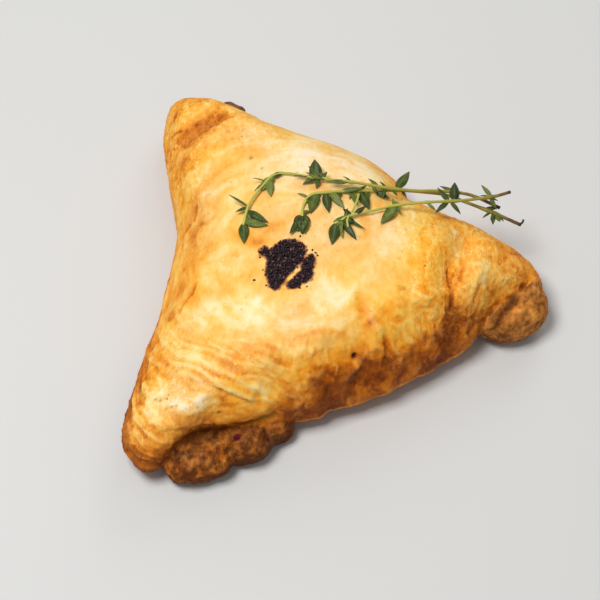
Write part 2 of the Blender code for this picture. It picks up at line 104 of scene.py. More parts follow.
ROLLS = (
    ((58.6, 0.2, 8.6), (13.2, 11.4, 9.4), 24),
    ((-44.5, -54.4, 6), (11.6, 8.4, 7), 10),
    ((-28.8, -48.6, 5.6), (9, 7.2, 6.6), 16),
    ((-19.5, -43.4, 5.6), (6, 5.2, 6), 25),
)
ROLL_BRIDGE = ((61.5, 6, 11), (8.5, 7.5, 7.5), 24)
LEAK = ((-35.4, 80.4, 9.8), (4.4, 1.9, 2.3), -18)
LEAK_RELIEF = 0.6
SEAM_MIDDLE = (-12, 2)
SEAM_ENDS = ((-56, 12), (8, -34), (6, 54))
SEAM_HALF_WIDTH = 2.6
SEAM_DEPTH = 1.6

# ---------------------------------------------------------------- creases, ridges and flakes
# routes and spots are plan points in mm; their height is found on the skin
# creases pressed into the skin: route, half width, depth, painted shade in its bottom, browning
CREASES = (
    (((-52, 55.8), (-48.7, 59.4), (-41.5, 64.4), (-34, 69.4)), 2.6, 0.7, 0, 0.52),
    (((-46.8, 61.6), (-44.6, 63.1), (-41.8, 63.9)), 0.9, 0.3, 0.12, 0.1),
    (((-46.6, 52), (-38.7, 52.3), (-35.3, 53.5)), 1.2, 0.3, 0, 0.16),
    (((-51.6, 36.5), (-52.3, 31.5)), 0.5, 0.7, 0.3, 0.16),
    (((-46.2, 30.6), (-46.7, 26.2), (-47.4, 24.5)), 0.5, 0.6, 0.25, 0.16),
    (((-48.1, 24.4), (-51.3, 22.6)), 0.5, 0.7, 0.3, 0.16),
    (((-45.9, 23), (-42.7, 21.1), (-39, 23)), 0.45, 0.3, 0.06, 0.14),
    (((-45.9, -1.6), (-46.7, -5.5), (-49.6, -9.3), (-50.8, -13.3)), 0.6, 1.1, 0.5, 0.22),
    (((-55.6, 3.3), (-57.6, -3.5), (-60, -14)), 0.6, 0.8, 0.25, 0.24),
    (((7.2, -9.4), (9, -16.7), (12.2, -20.9)), 1.5, 0.6, 0, 0.26),
    (((15.1, -21.2), (16.5, -26), (16, -28)), 0.9, 0.9, 0.12, 0.14),
    (((37.8, 6.9), (37.2, 0.2), (38, -6.7), (38.1, -12.6)), 1.2, 0.5, 0, 0.08),
    (((37.5, 3.6), (37.2, 0.2), (38, -6.7), (37.6, -11)), 0.45, 0.8, 0.4, 0.1),
    (((42.6, 9.2), (42.1, 4.7), (39.4, -2.8)), 0.9, 0.5, 0, 0.16),
    (((47.8, -1.6), (46, -4.6), (45, -7.4)), 0.7, 0.5, 0, 0.14),
    (((65, 4.6), (61.5, -0.1), (58, -4)), 1.2, 1, 0.3, 0.2),
    (((61, -0.8), (57.8, -4.4), (54.6, -8), (51.5, -13)), 1.6, 1.9, 0.9, 0.3),
    (((-55, -58.3), (-49.9, -53.8), (-44.3, -50), (-36.7, -47.9), (-29.9, -47), (-21.2, -44.3),
      (-16.7, -43.2)), 2.4, 1.1, 0.58, 0.1),
    (((-35.4, -55.5), (-34.4, -52.5), (-33.6, -48.8)), 1, 1.1, 0.6, 0.1),
    (((-43, -37.4), (-37.2, -41.6), (-34.2, -45.6)), 1.6, 0.5, 0, 0.06),
    (((-22.8, -50.2), (-22.4, -45.2)), 0.8, 0.8, 0.5, 0.1),
    (((-62, -30), (-55.6, -36.3), (-47, -39.6), (-38, -42.4), (-29, -44.4)), 3, 0, 0, 0.09),
    (((-64, -49), (-57.2, -51.2), (-49.6, -49.8), (-42, -47.2), (-33, -46.4)), 1.9, 0, 0, 0.14),
    (((-46, -2), (-45, -14), (-37, -24.5), (-28.5, -29.5)), 2.2, 0, 0, 0.1),
    (((-19.5, -7), (-19.5, -15), (-18.5, -21)), 2.4, 0.2, 0, 0.1),
    (((-27, -25.5), (-18, -31), (-9, -27), (-3, -20)), 2, 0.2, 0, 0.12),
)
# low ridges that stand out pale, partly pale crust and partly painted highlight: route, half width,
# height, paleness
RIDGES = (
    (((-47.3, 53.4), (-41.2, 55.8), (-33.4, 60.2)), 0.9, 0.45, 0.34),
    (((-51.8, -8.1), (-50.1, -15.8), (-49, -18.7)), 0.8, 0.4, 0.4),
    (((-52.8, 7.6), (-56.5, -0.2), (-56.8, -6.7), (-57.9, -18.4)), 1.2, 0.5, 0.5),
    (((10.7, -12.6), (12.2, -19.5), (14.2, -22.4)), 1.1, 0.5, 0.4),
    (((15.5, -24.5), (10.3, -27), (6.8, -30.9), (-1.8, -37.9)), 1, 0.8, 0.2),
    (((17.8, -24), (20.5, -25.8)), 0.55, 0.4, 0.3), (((26, -17.4), (28.1, -20.7)), 0.6, 0.4, 0.34),
    (((30.9, -20.9), (33.7, -15.9), (36.3, -8.4)), 0.6, 0.45, 0.36),
    (((28.9, -22.3), (32.7, -15.2)), 0.6, 0.4, 0.3), (((42.9, -11.6), (42.6, -14.7)), 0.6, 0.4, 0.3),
    (((48.5, 3.3), (46, -0.8), (43, -7.3)), 0.6, 0.4, 0.3),
    (((44.2, -9.4), (51.7, -0.9), (56.5, 2.4)), 2, 0.3, 0.1),
    (((66.5, 8), (66.2, -1.4)), 0.45, 0.3, 0.34),
    (((-23.1, 23.2), (-20.8, 25.5), (-12.8, 29)), 0.8, 0.35, 0.25),
    (((-11.8, -34.9), (-6.8, -35.2), (-2.5, -32.8)), 0.9, 0.4, 0.3),
)
# broad soft dents: middle, radius, depth
DENTS = (
    ((8.6, 3.9), 4, 0.4), ((13.4, 1.4), 3, 0.35), ((-19, 17.5), 5, 0.35), ((27, -2), 4.5, 0.4),
)
# small open holes in the skin: middle, radius, depth, painted shade in the hole
HOLES = (
    ((6.1, -28.9), 1, 1.6, 0.95), ((-61.3, -40.8), 0.4, 0.5, 0.6), ((-57.6, -42.3), 0.42, 0.5, 0.6),
    ((-56, -42.8), 0.42, 0.5, 0.6), ((-52.2, -45.7), 0.42, 0.5, 0.6), ((-50.7, -45.7), 0.42, 0.5, 0.6),
    ((-54.1, -46.1), 0.34, 0.4, 0.4), ((-44.2, -45.8), 0.36, 0.4, 0.4), ((-37.4, -45.4), 0.5, 0.5, 0.6),
    ((22.1, -7.4), 0.55, 0.4, 0.5), ((-28, 45.1), 0.5, 0.4, 0.8), ((-24.2, 40.1), 0.4, 0.3, 0.6),
    ((-34.6, 35.6), 0.35, 0.3, 0.5), ((-12.5, 37.7), 0.35, 0.3, 0.5),
)
# sheets of pastry whose edges face the front corner: route of the edge, step in height, width of
# the pale band behind the edge (partly painted highlight), its paleness, browning before the edge
# (partly painted shadow under the step)
FLAKES = (
    (((-63, -21.6), (-58.2, -29.4), (-51, -35.2)), 0.6, 0.5, 0.7, 0.12),
    (((-47.6, -35.6), (-42.1, -38.9), (-33, -41.8), (-26.2, -43)), 0.9, 0.6, 0.95, 0.07),
    (((-59, -12.5), (-54.7, -24), (-48, -30.3), (-40, -34.3), (-32, -38.6), (-22, -41)),
      0.7, 2, 0.75, 0.16),
    (((-46.3, -24.9), (-39, -28.1), (-32.9, -32.1), (-26.8, -36.7)), 0.5, 0.7, 0.4, 0.14),
    (((-36.5, -25), (-27.4, -31.9), (-19.8, -36.7), (-12.1, -39.9)), 0.5, 0.6, 0.4, 0.12),
    (((-27.4, -30.7), (-19.5, -35), (-11.5, -38.1)), 0.4, 0.5, 0.36, 0.1),
    (((-31.9, -28.9), (-23.6, -36.8), (-12.1, -41)), 0.4, 0.5, 0.3, 0.1),
    (((-43.8, -20.8), (-39.1, -26.5), (-37.1, -28.3)), 0.4, 0.4, 0.3, 0.08),
    (((-59.5, -54), (-49.6, -51.4), (-42.2, -47.8), (-33, -46.6)), 0.5, 0.6, 0.25, 0.1),
)
# finer streaks of layers run along this route, on its side towards the dome
LAYER_ROUTE = (
    (-70, -14), (-62.3, -23), (-54, -31.4), (-46.5, -36), (-39.1, -39.6), (-31.1, -41.9), (-24.6, -43.4),
    (-12, -44.5), (0, -42),
)
LAYER_REACH = 20
LAYER_HEIGHT = 0.36

# ---------------------------------------------------------------- browning of the skin
# (direction in degrees, share of the way out where browning starts, how much there is at the rim);
# towards the back browning starts late, partly painted sheen
BROWNING = (
    (-180, 0.5, 0.15), (-160, 0.55, 0.14), (-140, 0.72, 0.12), (-125, 0.74, 0.14), (-110, 0.55, 0.22),
    (-90, 0.5, 0.2), (-50, 0.45, 0.18), (-10, 0.42, 0.2), (10, 0.46, 0.22), (30, 0.62, 0.24),
    (50, 0.8, 0.22), (80, 0.86, 0.18), (100, 0.8, 0.14), (120, 0.66, 0.16), (145, 0.5, 0.16),
)
BROWN_BASE = 0.35
BROWN_MOST = 0.9
MILDER = 0.24
# the front side is painted darkest, partly browning and partly painted shade: edges of its span in
# degrees, heights where it starts and is full
FRONT_SPAN = ((-106, -76), (-6, -20))
FRONT_HEIGHTS = (35, 13)
FRONT_BROWN_AND_SHADE = 0.6
# height of the thin pale hem under the front side
HEM_HEIGHT = 7.4
ROLL_BROWN = (0.88, 1, 1.04, 1.04)
SWIRL = 0.13
# soft blotches: x, y, radius, change of browning
BLOTCHES = (
    (-42.8, -15, 4.4, -0.24), (-32.5, -13, 7, -0.12), (-24, -18.5, 6.5, -0.3), (-1, -12, 7.5, -0.3),
    # the pale blotches at (-10, 47) and (8, 41) are painted sheen along the back top
    (-10, 47, 9, -0.24), (8, 41, 11, -0.24), (-14, 38, 8, -0.12), (20, 11.5, 6, -0.22),
    (3, 24, 10, -0.06), (-54, -20, 4, -0.16), (52, 2.5, 5.5, -0.18), (45, -1, 4, -0.08),
    (-39.5, 11.2, 3.2, 0.12), (-43.8, 7.8, 3, 0.1), (-53.3, -12.5, 2.2, 0.24), (-51, -1.3, 3.6, 0.14),
    (-38.4, -8.1, 2.5, 0.1), (-39.8, 26.2, 3.6, 0.12), (-46.1, 31.5, 3.4, 0.12), (-50.4, 50, 2.2, 0.2),
    (-37.3, 65.7, 3, 0.14), (-50, 62.5, 2.6, 0.12), (-54.6, 70, 3, 0.08), (-19.7, 15.8, 3.6, 0.22),
    (-26.5, 10.1, 3, 0.22), (-23, 11.8, 3, 0.18), (-60.4, -20.5, 2.4, 0.1), (-55.8, -29.4, 2.2, 0.22),
    (-52.9, -30.4, 1.8, 0.2), (-62.7, -42.6, 1.6, 0.3), (-57, -46, 6.5, -0.2), (-48, -46.6, 4.5, -0.16),
    (-34, -41, 6, -0.2), (-25.5, -38.5, 6.5, -0.2), (-21.5, -43.5, 4.5, -0.12), (-54.8, -8, 4, -0.12),
    (37, -6, 4, -0.12), (-41.5, -44, 4, -0.44), (-35, -45.5, 3, -0.16), (-44.8, -28.5, 4, -0.3),
    (-38, -35.5, 3, 0.1), (-28, -36, 4, -0.1), (-21.5, -39, 4.5, -0.3), (-4.8, -28.5, 4, -0.06),
    (1.8, -30, 4.5, -0.08), (28.5, -14.6, 4.5, -0.1), (35, -16, 4.5, -0.14), (28.5, -21.5, 4.5, 0.2),
    # the blotch at (5, -36) darkens the front's lower edge: painted shade
    (5, -36, 4, 0.24), (-29, -28.5, 2.6, 0.18), (-33, -32.8, 2.2, 0.12), (-13, -35, 2.6, 0.1),
    (-21, -30, 4, 0.08), (10.6, -20.4, 2.4, 0.12), (25.1, 2.7, 3.5, 0.1), (23.1, 11.1, 3, 0.08),
    (17.5, -3.3, 3, 0.08), (30, 8, 5, 0.08), (-34.3, 56.3, 3, 0.08), (-32.5, 49.5, 3, 0.1),
    (62, -6, 5, 0.12), (67, -1, 4, 0.08), (60, 14, 6, 0.06),
)
# drier, pinker patches of the skin: x, y, radius
DRY_PATCHES = (
    (-5.6, 10.7, 9), (-14, -22, 7), (-43, 28, 7), (0, 42, 16), (-20, 16, 8), (14, 14, 8), (-31, 56, 5),
    (-48, -44.5, 8),
)
# bits of red filling that show through: x, y, radius
RED_SPOTS = ((-31.9, -50, 1.5), (6.1, -28.9, 0.8), (-22, -50, 0.9))

# ---------------------------------------------------------------- noises and directions on the skin
# clouds: size in mm, octaves, number of the draw
CLOUDS = {
    "swell": (14, 2, 21), "roll_bumps": (4.5, 3, 22), "fine": (2.2, 2, 31), "wide": (5, 2, 41),
    "fray": (6, 1, 42), "torn": (3.2, 2, 43), "layer_bend": (12, 2, 51), "level": (7, 2, 53),
    "side_grain": (2, 2, 55), "tufts": (8, 1, 66), "net_patches": (6, 1, 68), "pebble": (1.7, 2, 69),
    "blotch_edge": (3.5, 2, 71), "brown_wide": (11, 3, 72), "brown_fine": (4, 2, 73),
    "dry": (13, 2, 74), "roll_brown": (5, 3, 75), "swirl_bend": (16, 2, 76), "roll_pale": (2.2, 2, 78),
}
# noises drawn out one way: size across in mm, stretch, octaves, number of the draw
STREAKS = {
    "layers": (2, 11, 3, 52), "side": (1.9, 6, 2, 54), "tip": (2.2, 8, 2, 56),
    "folds": (6.5, 2.2, 2, 64), "wrinkles": (1.8, 3, 2, 65), "swirl": (4.2, 5, 3, 77),
}
NET = (2.5, 2, 67)
LEAK_CLOUDS = (2.4, 3, 91)
# directions from the dome's middle and their spread, in degrees
MILD_LEFT = (180, 45)
MILD_BACK = (118, 25)
FRONT_TIP = (-134, 20)
LEFT_SIDE = (178, 38)
BACK_TIP = (118, 22)
SMOOTH_EAR = (-131, 30)
ROUGH_LEFT = (160, 40)
# mm that one radian of direction counts as, for the streaks of the side, the front and the top
ROUND_RIM = 60
ROUND_FRONT = 48
ROUND_SWIRL = 40

# ---------------------------------------------------------------- seeds
SEED_RANDOM = 7
SEED_PITCH = 0.8
SEED_HALF = (0.62, 0.37, 0.33)
SEED_LIFTS = (0, 0.1, 0.3, 0.5, 0.7)
# the grid that seeds are drawn from: its middle in x, its rows and columns to each side
SEED_GRID_X = -15
SEED_GRID_HALF = 30
SEED_JITTER = 0.28
SEED_EDGE_FRAY = 0.4
STRAY_JITTER = 0.45
SEED_SIZES = (0.55, 1.15)
SEED_UNEVEN = (0.85, 1.15)
SEED_TILT = 0.7
SEED_CLEAR = 0.12
SEED_BLOTS = (
    ((-24.5, 5.9), (-23.2, 7.1), (-21.6, 5.9), (-19.6, 7.5), (-17, 9), (-14.4, 9.4), (-11.8, 8.6),
      (-10.5, 7.1), (-10, 5.2), (-10.5, 3.3), (-11.7, 1), (-13.3, -1.3), (-15.2, -3.5), (-17, -5.8),
      (-18.3, -8), (-19.5, -8.4), (-20.8, -7.3), (-21.5, -5), (-22, -2), (-21.9, 1), (-22.5, 4),
      (-23.8, 4.4)),
    ((-9.6, 2.5), (-7.9, 3.3), (-7, 2.5), (-7.3, 0.2), (-7.6, -2), (-8, -5), (-9.2, -6.1), (-11.2, -7.3),
      (-13.1, -8.8), (-15, -8.8), (-15.5, -7.6), (-13.8, -5.8), (-12.1, -3.9), (-10.7, -2), (-10.2, 0.2)),
)
STRAY_SEEDS = (
    (-6.3, 4.4), (-7.4, 5.4), (-7.1, -1.3), (-24.7, 3.7), (-23.8, -1.3), (-22.8, -6.9), (-26, -5),
    (-21.5, -8), (-11.2, -8.8), (-9.2, -7.6), (-10.5, 8.2), (-11.8, 10.1), (-5.7, 3.7), (-8.9, 5.6),
)

# ---------------------------------------------------------------- thyme
STEM_SIDES = 8
STEM_STEPS = 5
STEM_CLEAR = 0.35
LEAF_CLEAR = 0.3
LEAF_THICK = 0.22
LEAF_TURN_STEP = 2
LEAF_TURNS = 20
LEAF_CURL = 0.25
LEAF_CURL_SPREAD = (-0.2, 0.5)
LEAF_GRID = (9, 6)
# how much a stem thickens where a leaf sits, over what length, and its most as a share
KNOT_RISE = 0.16
KNOT_LENGTH = 0.9
KNOT_MOST = 1.35
SIDE_STEM_RADII = (0.42, 0.34)
SIDE_STEM_STEPS = 3
# each sprig: its stem from the cut end, its radius at cut and tip, short side stems, and its leaves as
# (share along the stem, heading in degrees, length, climb in degrees, width as a share of length, roll
# in degrees, and for some how far they curl over, in radians)
SPRIGS = {
    "thyme_sprig_long": {
        "radius": (0.58, 0.34),
        "sides": (),
        "stem": (
        (55.1, 26.1, 30), (46.9, 29.6, 31.6), (41.2, 30.4, 32.8), (33.8, 29.9, 34.6), (26.4, 29.6, 35.2),
        (15.8, 30.3, 36.2), (7.6, 31.6, 36.9), (-0.9, 32.8, 36.9), (-8.4, 34.2, 36.6), (-15.2, 36, 36),
        (-20.2, 35.6, 35.6), (-23.8, 31.4, 35.7), (-26.6, 27.4, 35.6), (-28.6, 23.4, 35.5),
        (-29.6, 19, 35.4), (-30.2, 16.1, 35.2),
        ),
        "leaves": (
        (0.16, 154, 5.6, 12, 0.38, 20), (0.36, 61, 8.9, 4, 0.42, -10), (0.42, 135, 4.6, 14, 0.4, 25),
        (0.52, -176, 7.8, 16, 0.34, 25), (0.63, 95, 6.4, 18, 0.7, 0), (0.655, 172, 5.2, 10, 0.26, 50),
        (0.79, 21, 5.6, 14, 0.36, 10), (0.8, -83, 6.8, 2, 0.44, 0), (0.81, 163, 4.8, 10, 0.24, 45),
        (0.815, -152, 5, 4, 0.28, 40), (0.925, 147, 7.6, 8, 0.22, 40), (0.93, -162, 4.4, 6, 0.34, 10),
        (0.945, -37, 8.6, 5, 0.32, 35), (0.985, -13, 8.2, 2, 0.4, 0), (0.99, -89, 8, -3, 0.46, 0),
        (0.785, -126, 6.4, 8, 0.56, 10), (0.8, -62, 4.4, 4, 0.34, -20), (0.78, -100, 3.6, 16, 0.4, 20),
        (0.945, -72, 4.2, 4, 0.4, 10), (0.95, -20, 3.6, 14, 0.4, 0), (0.6, 138, 7.2, 14, 0.5, 20),
        (0.595, 163, 7.2, 12, 0.4, 30), (0.625, -160, 4.2, 4, 0.36, 10), (0.64, -148, 4.4, 2, 0.34, 0),
        (0.62, -112, 4, 6, 0.4, 20), (0.61, 60, 3.4, 16, 0.4, 0), (0.51, 135, 3.6, 14, 0.3, 30),
        (0.39, 140, 3.4, 14, 0.36, 20), (0.4, -100, 3.6, 0, 0.44, 10), (0.375, -55, 3.2, -4, 0.4, 0),
        (0.44, -70, 3, 0, 0.4, 20), (0.17, -40, 3, 4, 0.36, 0),
        ),
    },
    "thyme_sprig_middle": {
        "radius": (0.6, 0.36),
        "sides": (
        ((61.7, 21.4, 27.1), (62.6, 22, 27.7), (62.9, 22.8, 28.1)),
        ),
        "stem": (
        (62.1, 21.3, 27), (53.5, 24.9, 28.5), (44.5, 28.1, 30), (36.9, 30.4, 31.4), (30, 30.8, 32.4),
        (22, 31, 33.2), (13, 30, 34.6), (4.6, 29.1, 35.7), (-1.6, 28.1, 36.6), (-7.6, 26.9, 37),
        (-10.2, 22.9, 37.4), (-10.8, 18.8, 37.7), (-10.6, 16.6, 37.8),
        ),
        "leaves": (
        (0.105, -49, 3.4, 0, 0.4, 0), (0.12, -94, 4.2, -6, 0.42, 0), (0.13, -150, 3.6, 0, 0.36, 20),
        (0.16, 5, 5.4, 4, 0.28, 30), (0.61, -34, 5.8, 6, 0.38, 10), (0.67, -71, 8.6, 8, 0.42, 5),
        (0.7, -88, 6.6, 2, 0.3, 40), (0.79, -61, 8, 3, 0.36, 20), (0.81, -82, 8.4, 6, 0.38, -5),
        (0.845, -106, 8.8, 3, 0.44, 5), (0.87, -131, 4.4, 3, 0.28, 50), (0.885, 145, 4.2, 10, 0.32, 30),
        (0.985, -122, 8, 8, 0.34, 10), (0.975, -60, 5.2, 8, 0.4, 0), (0.75, 5, 7.7, 10, 0.26, 20),
        (0.915, 28, 3.2, 8, 0.34, 0), (0.7, -112, 3.6, 4, 0.36, 20), (0.68, 29, 3.8, 10, 0.3, 30),
        (0.635, -101, 4, 2, 0.34, 30), (0.745, -122, 4.2, 4, 0.4, 10), (0.86, -60, 3.6, 6, 0.42, 20),
        (0.83, -130, 4.6, 12, 0.4, 20), (0.56, 150, 3.6, 12, 0.34, 20), (0.5, -60, 3.2, 0, 0.34, 10),
        (0.11, -70, 3.6, 8, 0.5, 10), (0.115, -120, 3, 12, 0.44, 0), (0.99, -90, 6.6, 42, 0.62, 0, 1.7),
        (0.99, -58, 6, 34, 0.56, -25, 1.5), (0.99, -125, 6, 34, 0.56, 25, 1.5),
        (0.99, -74, 5, 62, 0.6, 0, 1.9), (0.99, -108, 5, 62, 0.6, 0, 1.9),
        (0.98, -30, 4.2, 30, 0.6, -30, 1.2), (0.98, -152, 4.2, 30, 0.6, 30, 1.2),
        (0.99, -90, 3.6, 80, 0.7, 0, 1.6), (0.99, -82, 6.2, 8, 0.56, 0, 0.5),
        (0.97, 20, 3, 20, 0.5, 0, 1),
        ),
    },
    "thyme_sprig_short": {
        "radius": (0.56, 0.34),
        "sides": (
        ((8, 27.6, 36.4), (7.2, 23.6, 38.2), (5.6, 19, 38.8)),
        ((4.6, 18, 38.4), (3.9, 15.6, 39), (4.2, 13, 38.9)),
        ),
        "stem": (
        (58.4, 29.9, 34), (53, 28, 34.2), (47.9, 26.9, 34.6), (39.9, 25.4, 35.4), (33, 24.6, 36.2),
        (26.3, 24.2, 36), (19.1, 23.1, 36), (12.6, 20.9, 36.7), (6.2, 18.5, 37.9), (2.4, 16.6, 38.1),
        (-0.2, 14.9, 38.2),
        ),
        "leaves": (
        (0.11, 120, 6, 8, 0.32, 10), (0.115, 160, 3.8, 16, 0.26, 30), (0.12, -60, 4.8, -4, 0.32, 0),
        (0.32, 86, 8, 10, 0.44, 0), (0.345, 130, 6.2, 14, 0.36, 10), (0.35, -144, 6, 0, 0.36, 10),
        (0.34, -51, 5.6, 0, 0.32, -10), (0.47, -49, 4.4, 0, 0.26, 30), (0.61, 150, 3.8, 16, 0.32, 20),
        (0.635, -127, 8.8, 4, 0.42, 0), (0.9, -150, 4.4, 8, 0.4, 10), (0.93, -41, 7.4, 4, 0.18, 45),
        (0.955, -62, 9, 3, 0.28, 15), (0.975, -80, 6.6, 8, 0.3, 10), (0.99, -100, 8.6, 1, 0.46, 0),
        (0.95, -124, 3.6, 14, 0.4, 20), (0.96, -95, 5.4, 14, 0.34, 30),
        (0.945, -27, 4.6, 24, 0.62, 20, 1), (0.915, -176, 3.2, 12, 0.36, 0),
        (0.895, 131, 4.2, 14, 0.4, 10), (0.88, 37, 5.2, 12, 0.34, 10), (0.94, -150, 4, 30, 0.44, -20, 1),
        (0.925, -100, 4.6, 26, 0.44, 0, 1), (0.93, 80, 3.6, 30, 0.4, 0), (0.645, 100, 3.2, 14, 0.36, 0),
        (0.64, -60, 3.6, 2, 0.34, 10), (0.655, -150, 3.4, 10, 0.36, 10), (0.125, -20, 3.2, 4, 0.3, 0),
        (0.33, 60, 3.4, 20, 0.34, 0),
        ),
    },
}


# ================================================================ the parcel's form
# a distance in mm beyond the reach of anything
FAR = 1e3


def ease(low, high, value):
    """0 below low, 1 above high and a smooth rise between."""
    t = np.clip((value - low) / (high - low), 0, 1)
    return t * t * (3 - 2 * t)


def bell(gap, width):
    """1 where a gap is 0, falling off smoothly to both sides."""
    return np.exp(-(gap / width) ** 2)


def fade_ends(along, inner, outer=0):
    """1 along the middle of a route, falling to 0 at both of its ends."""
    return ease(outer, inner, along) * ease(1 - outer, 1 - inner, along)


def turn_apart(angle, other):
    """The signed angle in degrees from other to angle, between -180 and 180."""
    return (angle - other + 180) % 360 - 180


def closed_curve(table, column, angle):
    """A smooth closed curve through one column of a table of directions, read at some angles."""
    knots = np.array([row[0] for row in table], float)
    values = np.array([row[column] for row in table], float)
    knots = np.concatenate((knots[-2:] - 360, knots, knots[:2] + 360))
    values = np.concatenate((values[-2:], values, values[:2]))
    slopes = np.zeros_like(values)
    slopes[1:-1] = (values[2:] - values[:-2]) / (knots[2:] - knots[:-2])
    angle = (np.asarray(angle, float) - knots[1]) % 360 + knots[1]
    i = np.clip(np.searchsorted(knots, angle, side="right") - 1, 1, len(knots) - 3)
    span = knots[i + 1] - knots[i]
    t = (angle - knots[i]) / span
    start = values[i] * (1 + 2 * t) * (1 - t) ** 2 + slopes[i] * span * t * (1 - t) ** 2
    end = values[i + 1] * t * t * (3 - 2 * t) - slopes[i + 1] * span * t * t * (1 - t)
    return start + end


def outline_radius(angle):
    """Distance in mm from the dome's middle to the edge."""
    return closed_curve(OUTLINE, 1, angle)


def corner_share(angle):
    """How much a direction belongs to a corner, from 0 to 1."""
    share = [bell(turn_apart(angle, corner), CORNER_SPREAD) for corner in CORNERS]
    return np.minimum(sum(share), 1)


def way_out(x, y):
    """Direction in degrees from the dome's middle, and the share of the way to the edge."""
    px, py = x - DOME_MIDDLE[0], y - DOME_MIDDLE[1]
    angle = np.degrees(np.arctan2(py, px))
    return angle, np.minimum(np.hypot(px, py) / outline_radius(angle), 1)


def bend_start(share, places):
    """Where a skin starts to bend round the edge, for a share of corner from 0 to 1."""
    at_side, at_corner = places
    return at_side + share * (at_corner - at_side)


def past_bend(t, start):
    """How far past the start of the bend a point is, from 0 to 1 at the edge."""
    return np.clip((t - start) / (1 - start), 0, 1)


def side_product(x, y):
    """Product of the distances from the three bowed sides, which swells evenly like a cushion."""
    product = np.ones_like(x)
    for (ax, ay), (bx, by), bow in SIDES:
        length = math.hypot(bx - ax, by - ay)
        dx, dy = (bx - ax) / length, (by - ay) / length
        along = np.clip(((x - ax) * dx + (y - ay) * dy) / length, 0, 1)
        inward = dx * (y - ay) - dy * (x - ax)
        product = product * np.maximum(inward + 4 * bow * along * (1 - along), 0)
    return product


def chain_gap(points, route):
    """Distance to a chain of points, signed by its side in plan, and the place along it."""
    gap = np.full(len(points), FAR)
    place, side = np.zeros(len(points)), np.ones(len(points))
    count = len(route) - 1
    for k in range(count):
        step = route[k + 1] - route[k]
        away = points - route[k]
        t = np.clip(away @ step / (step @ step), 0, 1)
        reach = np.linalg.norm(away - t[:, None] * step, axis=1)
        nearer = reach < gap
        gap = np.where(nearer, reach, gap)
        place = np.where(nearer, (k + t) / count, place)
        side = np.where(nearer, np.sign(step[0] * away[:, 1] - step[1] * away[:, 0]), side)
    return gap * side, place


def plan_gap(x, y, route):
    """Signed distance in plan to a chain of plan points, and the place along it."""
    return chain_gap(np.stack((x, y), axis=1), np.array(route, float))


SWELL_FULL = float(side_product(np.array([DOME_MIDDLE[0]]), np.array([DOME_MIDDLE[1]]))[0])


def top_height(x, y):
    """Height in mm of the parcel's upper skin over a plan point."""
    angle, t = way_out(x, y)
    swell = (side_product(x, y) / SWELL_FULL) ** DOME_POWER
    skin = EAR_TOP + (DOME_TOP - EAR_TOP) * swell
    for height, turn_x, turn_y, phase in SWELLS:
        skin = skin + height * np.sin(turn_x * x + turn_y * y + phase)
    for points, width, depth, lip in VALLEYS:
        gap, along = plan_gap(x, y, points)
        fade = fade_ends(along, VALLEY_FADE)
        skin = skin - depth * fade * bell(gap, width)
        skin = skin + lip * fade * bell(np.abs(gap) - LIP_PLACE * width, width)
    into = past_bend(t, bend_start(corner_share(angle), RIM_START))
    return RIM_HEIGHT + (skin - RIM_HEIGHT) * np.sqrt(1 - into ** 2)


def base_height(x, y):
    """Height in mm of the under skin: a flat pad and three feet, lifted at the belly and seam."""
    angle, t = way_out(x, y)
    into = past_bend(t, bend_start(corner_share(angle), BASE_START))
    belly = bell(turn_apart(angle, BELLY_ANGLE), BELLY_SPREAD)
    height = BELLY_LIFT * belly * ease(*BELLY_SHARES, t)
    from_pad = np.hypot(x - PAD_MIDDLE[0], y - PAD_MIDDLE[1])
    lift = PAD_LIFT * ease(*PAD_RADII, from_pad)
    for foot_x, foot_y in FEET:
        lift = lift * (1 - bell(np.hypot(x - foot_x, y - foot_y), FOOT_HALF_WIDTH))
    height = height + lift
    for end in SEAM_ENDS:
        gap, _ = plan_gap(x, y, (SEAM_MIDDLE, end))
        height = height + SEAM_DEPTH * ease(SEAM_HALF_WIDTH, 0, np.abs(gap)) * (1 - into)
    return height + (RIM_HEIGHT - height) * (1 - np.sqrt(1 - into ** 2))


def arc_directions(turn):
    """Directions for evenly spaced points round the outline, for turns of 0 to 1."""
    angles = np.linspace(-180, 180, OUTLINE_STEPS + 1)
    radius = outline_radius(angles)
    x, y = radius * np.cos(np.radians(angles)), radius * np.sin(np.radians(angles))
    walked = np.concatenate(([0], np.cumsum(np.hypot(np.diff(x), np.diff(y)))))
    return np.interp(turn, walked / walked[-1], angles)


def parcel_skin(bm):
    """The puffed parcel: a ball of even triangles laid over the outline, the dome and the base."""
    verts = bmesh.ops.create_icosphere(bm, subdivisions=SKIN_LEVELS, radius=1)["verts"]
    ball = np.array([v.co for v in verts])
    angle = arc_directions(np.arctan2(ball[:, 1], ball[:, 0]) / (2 * math.pi) + 0.5)
    area = (1 - ball[:, 2]) / 2
    upper = area < TOP_SHARE
    from_pole = np.where(upper, area / TOP_SHARE, (1 - area) / (1 - TOP_SHARE))
    share = corner_share(angle)
    start = np.where(upper, bend_start(share, RIM_START), bend_start(share, BASE_START))
    flat = start * np.sqrt(np.minimum(from_pole / FLAT_SHARE, 1))
    bend = past_bend(from_pole, FLAT_SHARE) * math.pi / 2
    radius = (flat + (1 - start) * np.sin(bend)) * outline_radius(angle)
    x = DOME_MIDDLE[0] + radius * np.cos(np.radians(angle))
    y = DOME_MIDDLE[1] + radius * np.sin(np.radians(angle))
    z = np.where(upper, top_height(x, y), base_height(x, y))
    for vert, place in zip(verts, np.stack((x, y, z), axis=1)):
        vert.co = place


def turned(degrees, axis):
    """The matrix of a turn about an axis."""
    return Matrix.Rotation(math.radians(degrees), 3, axis)


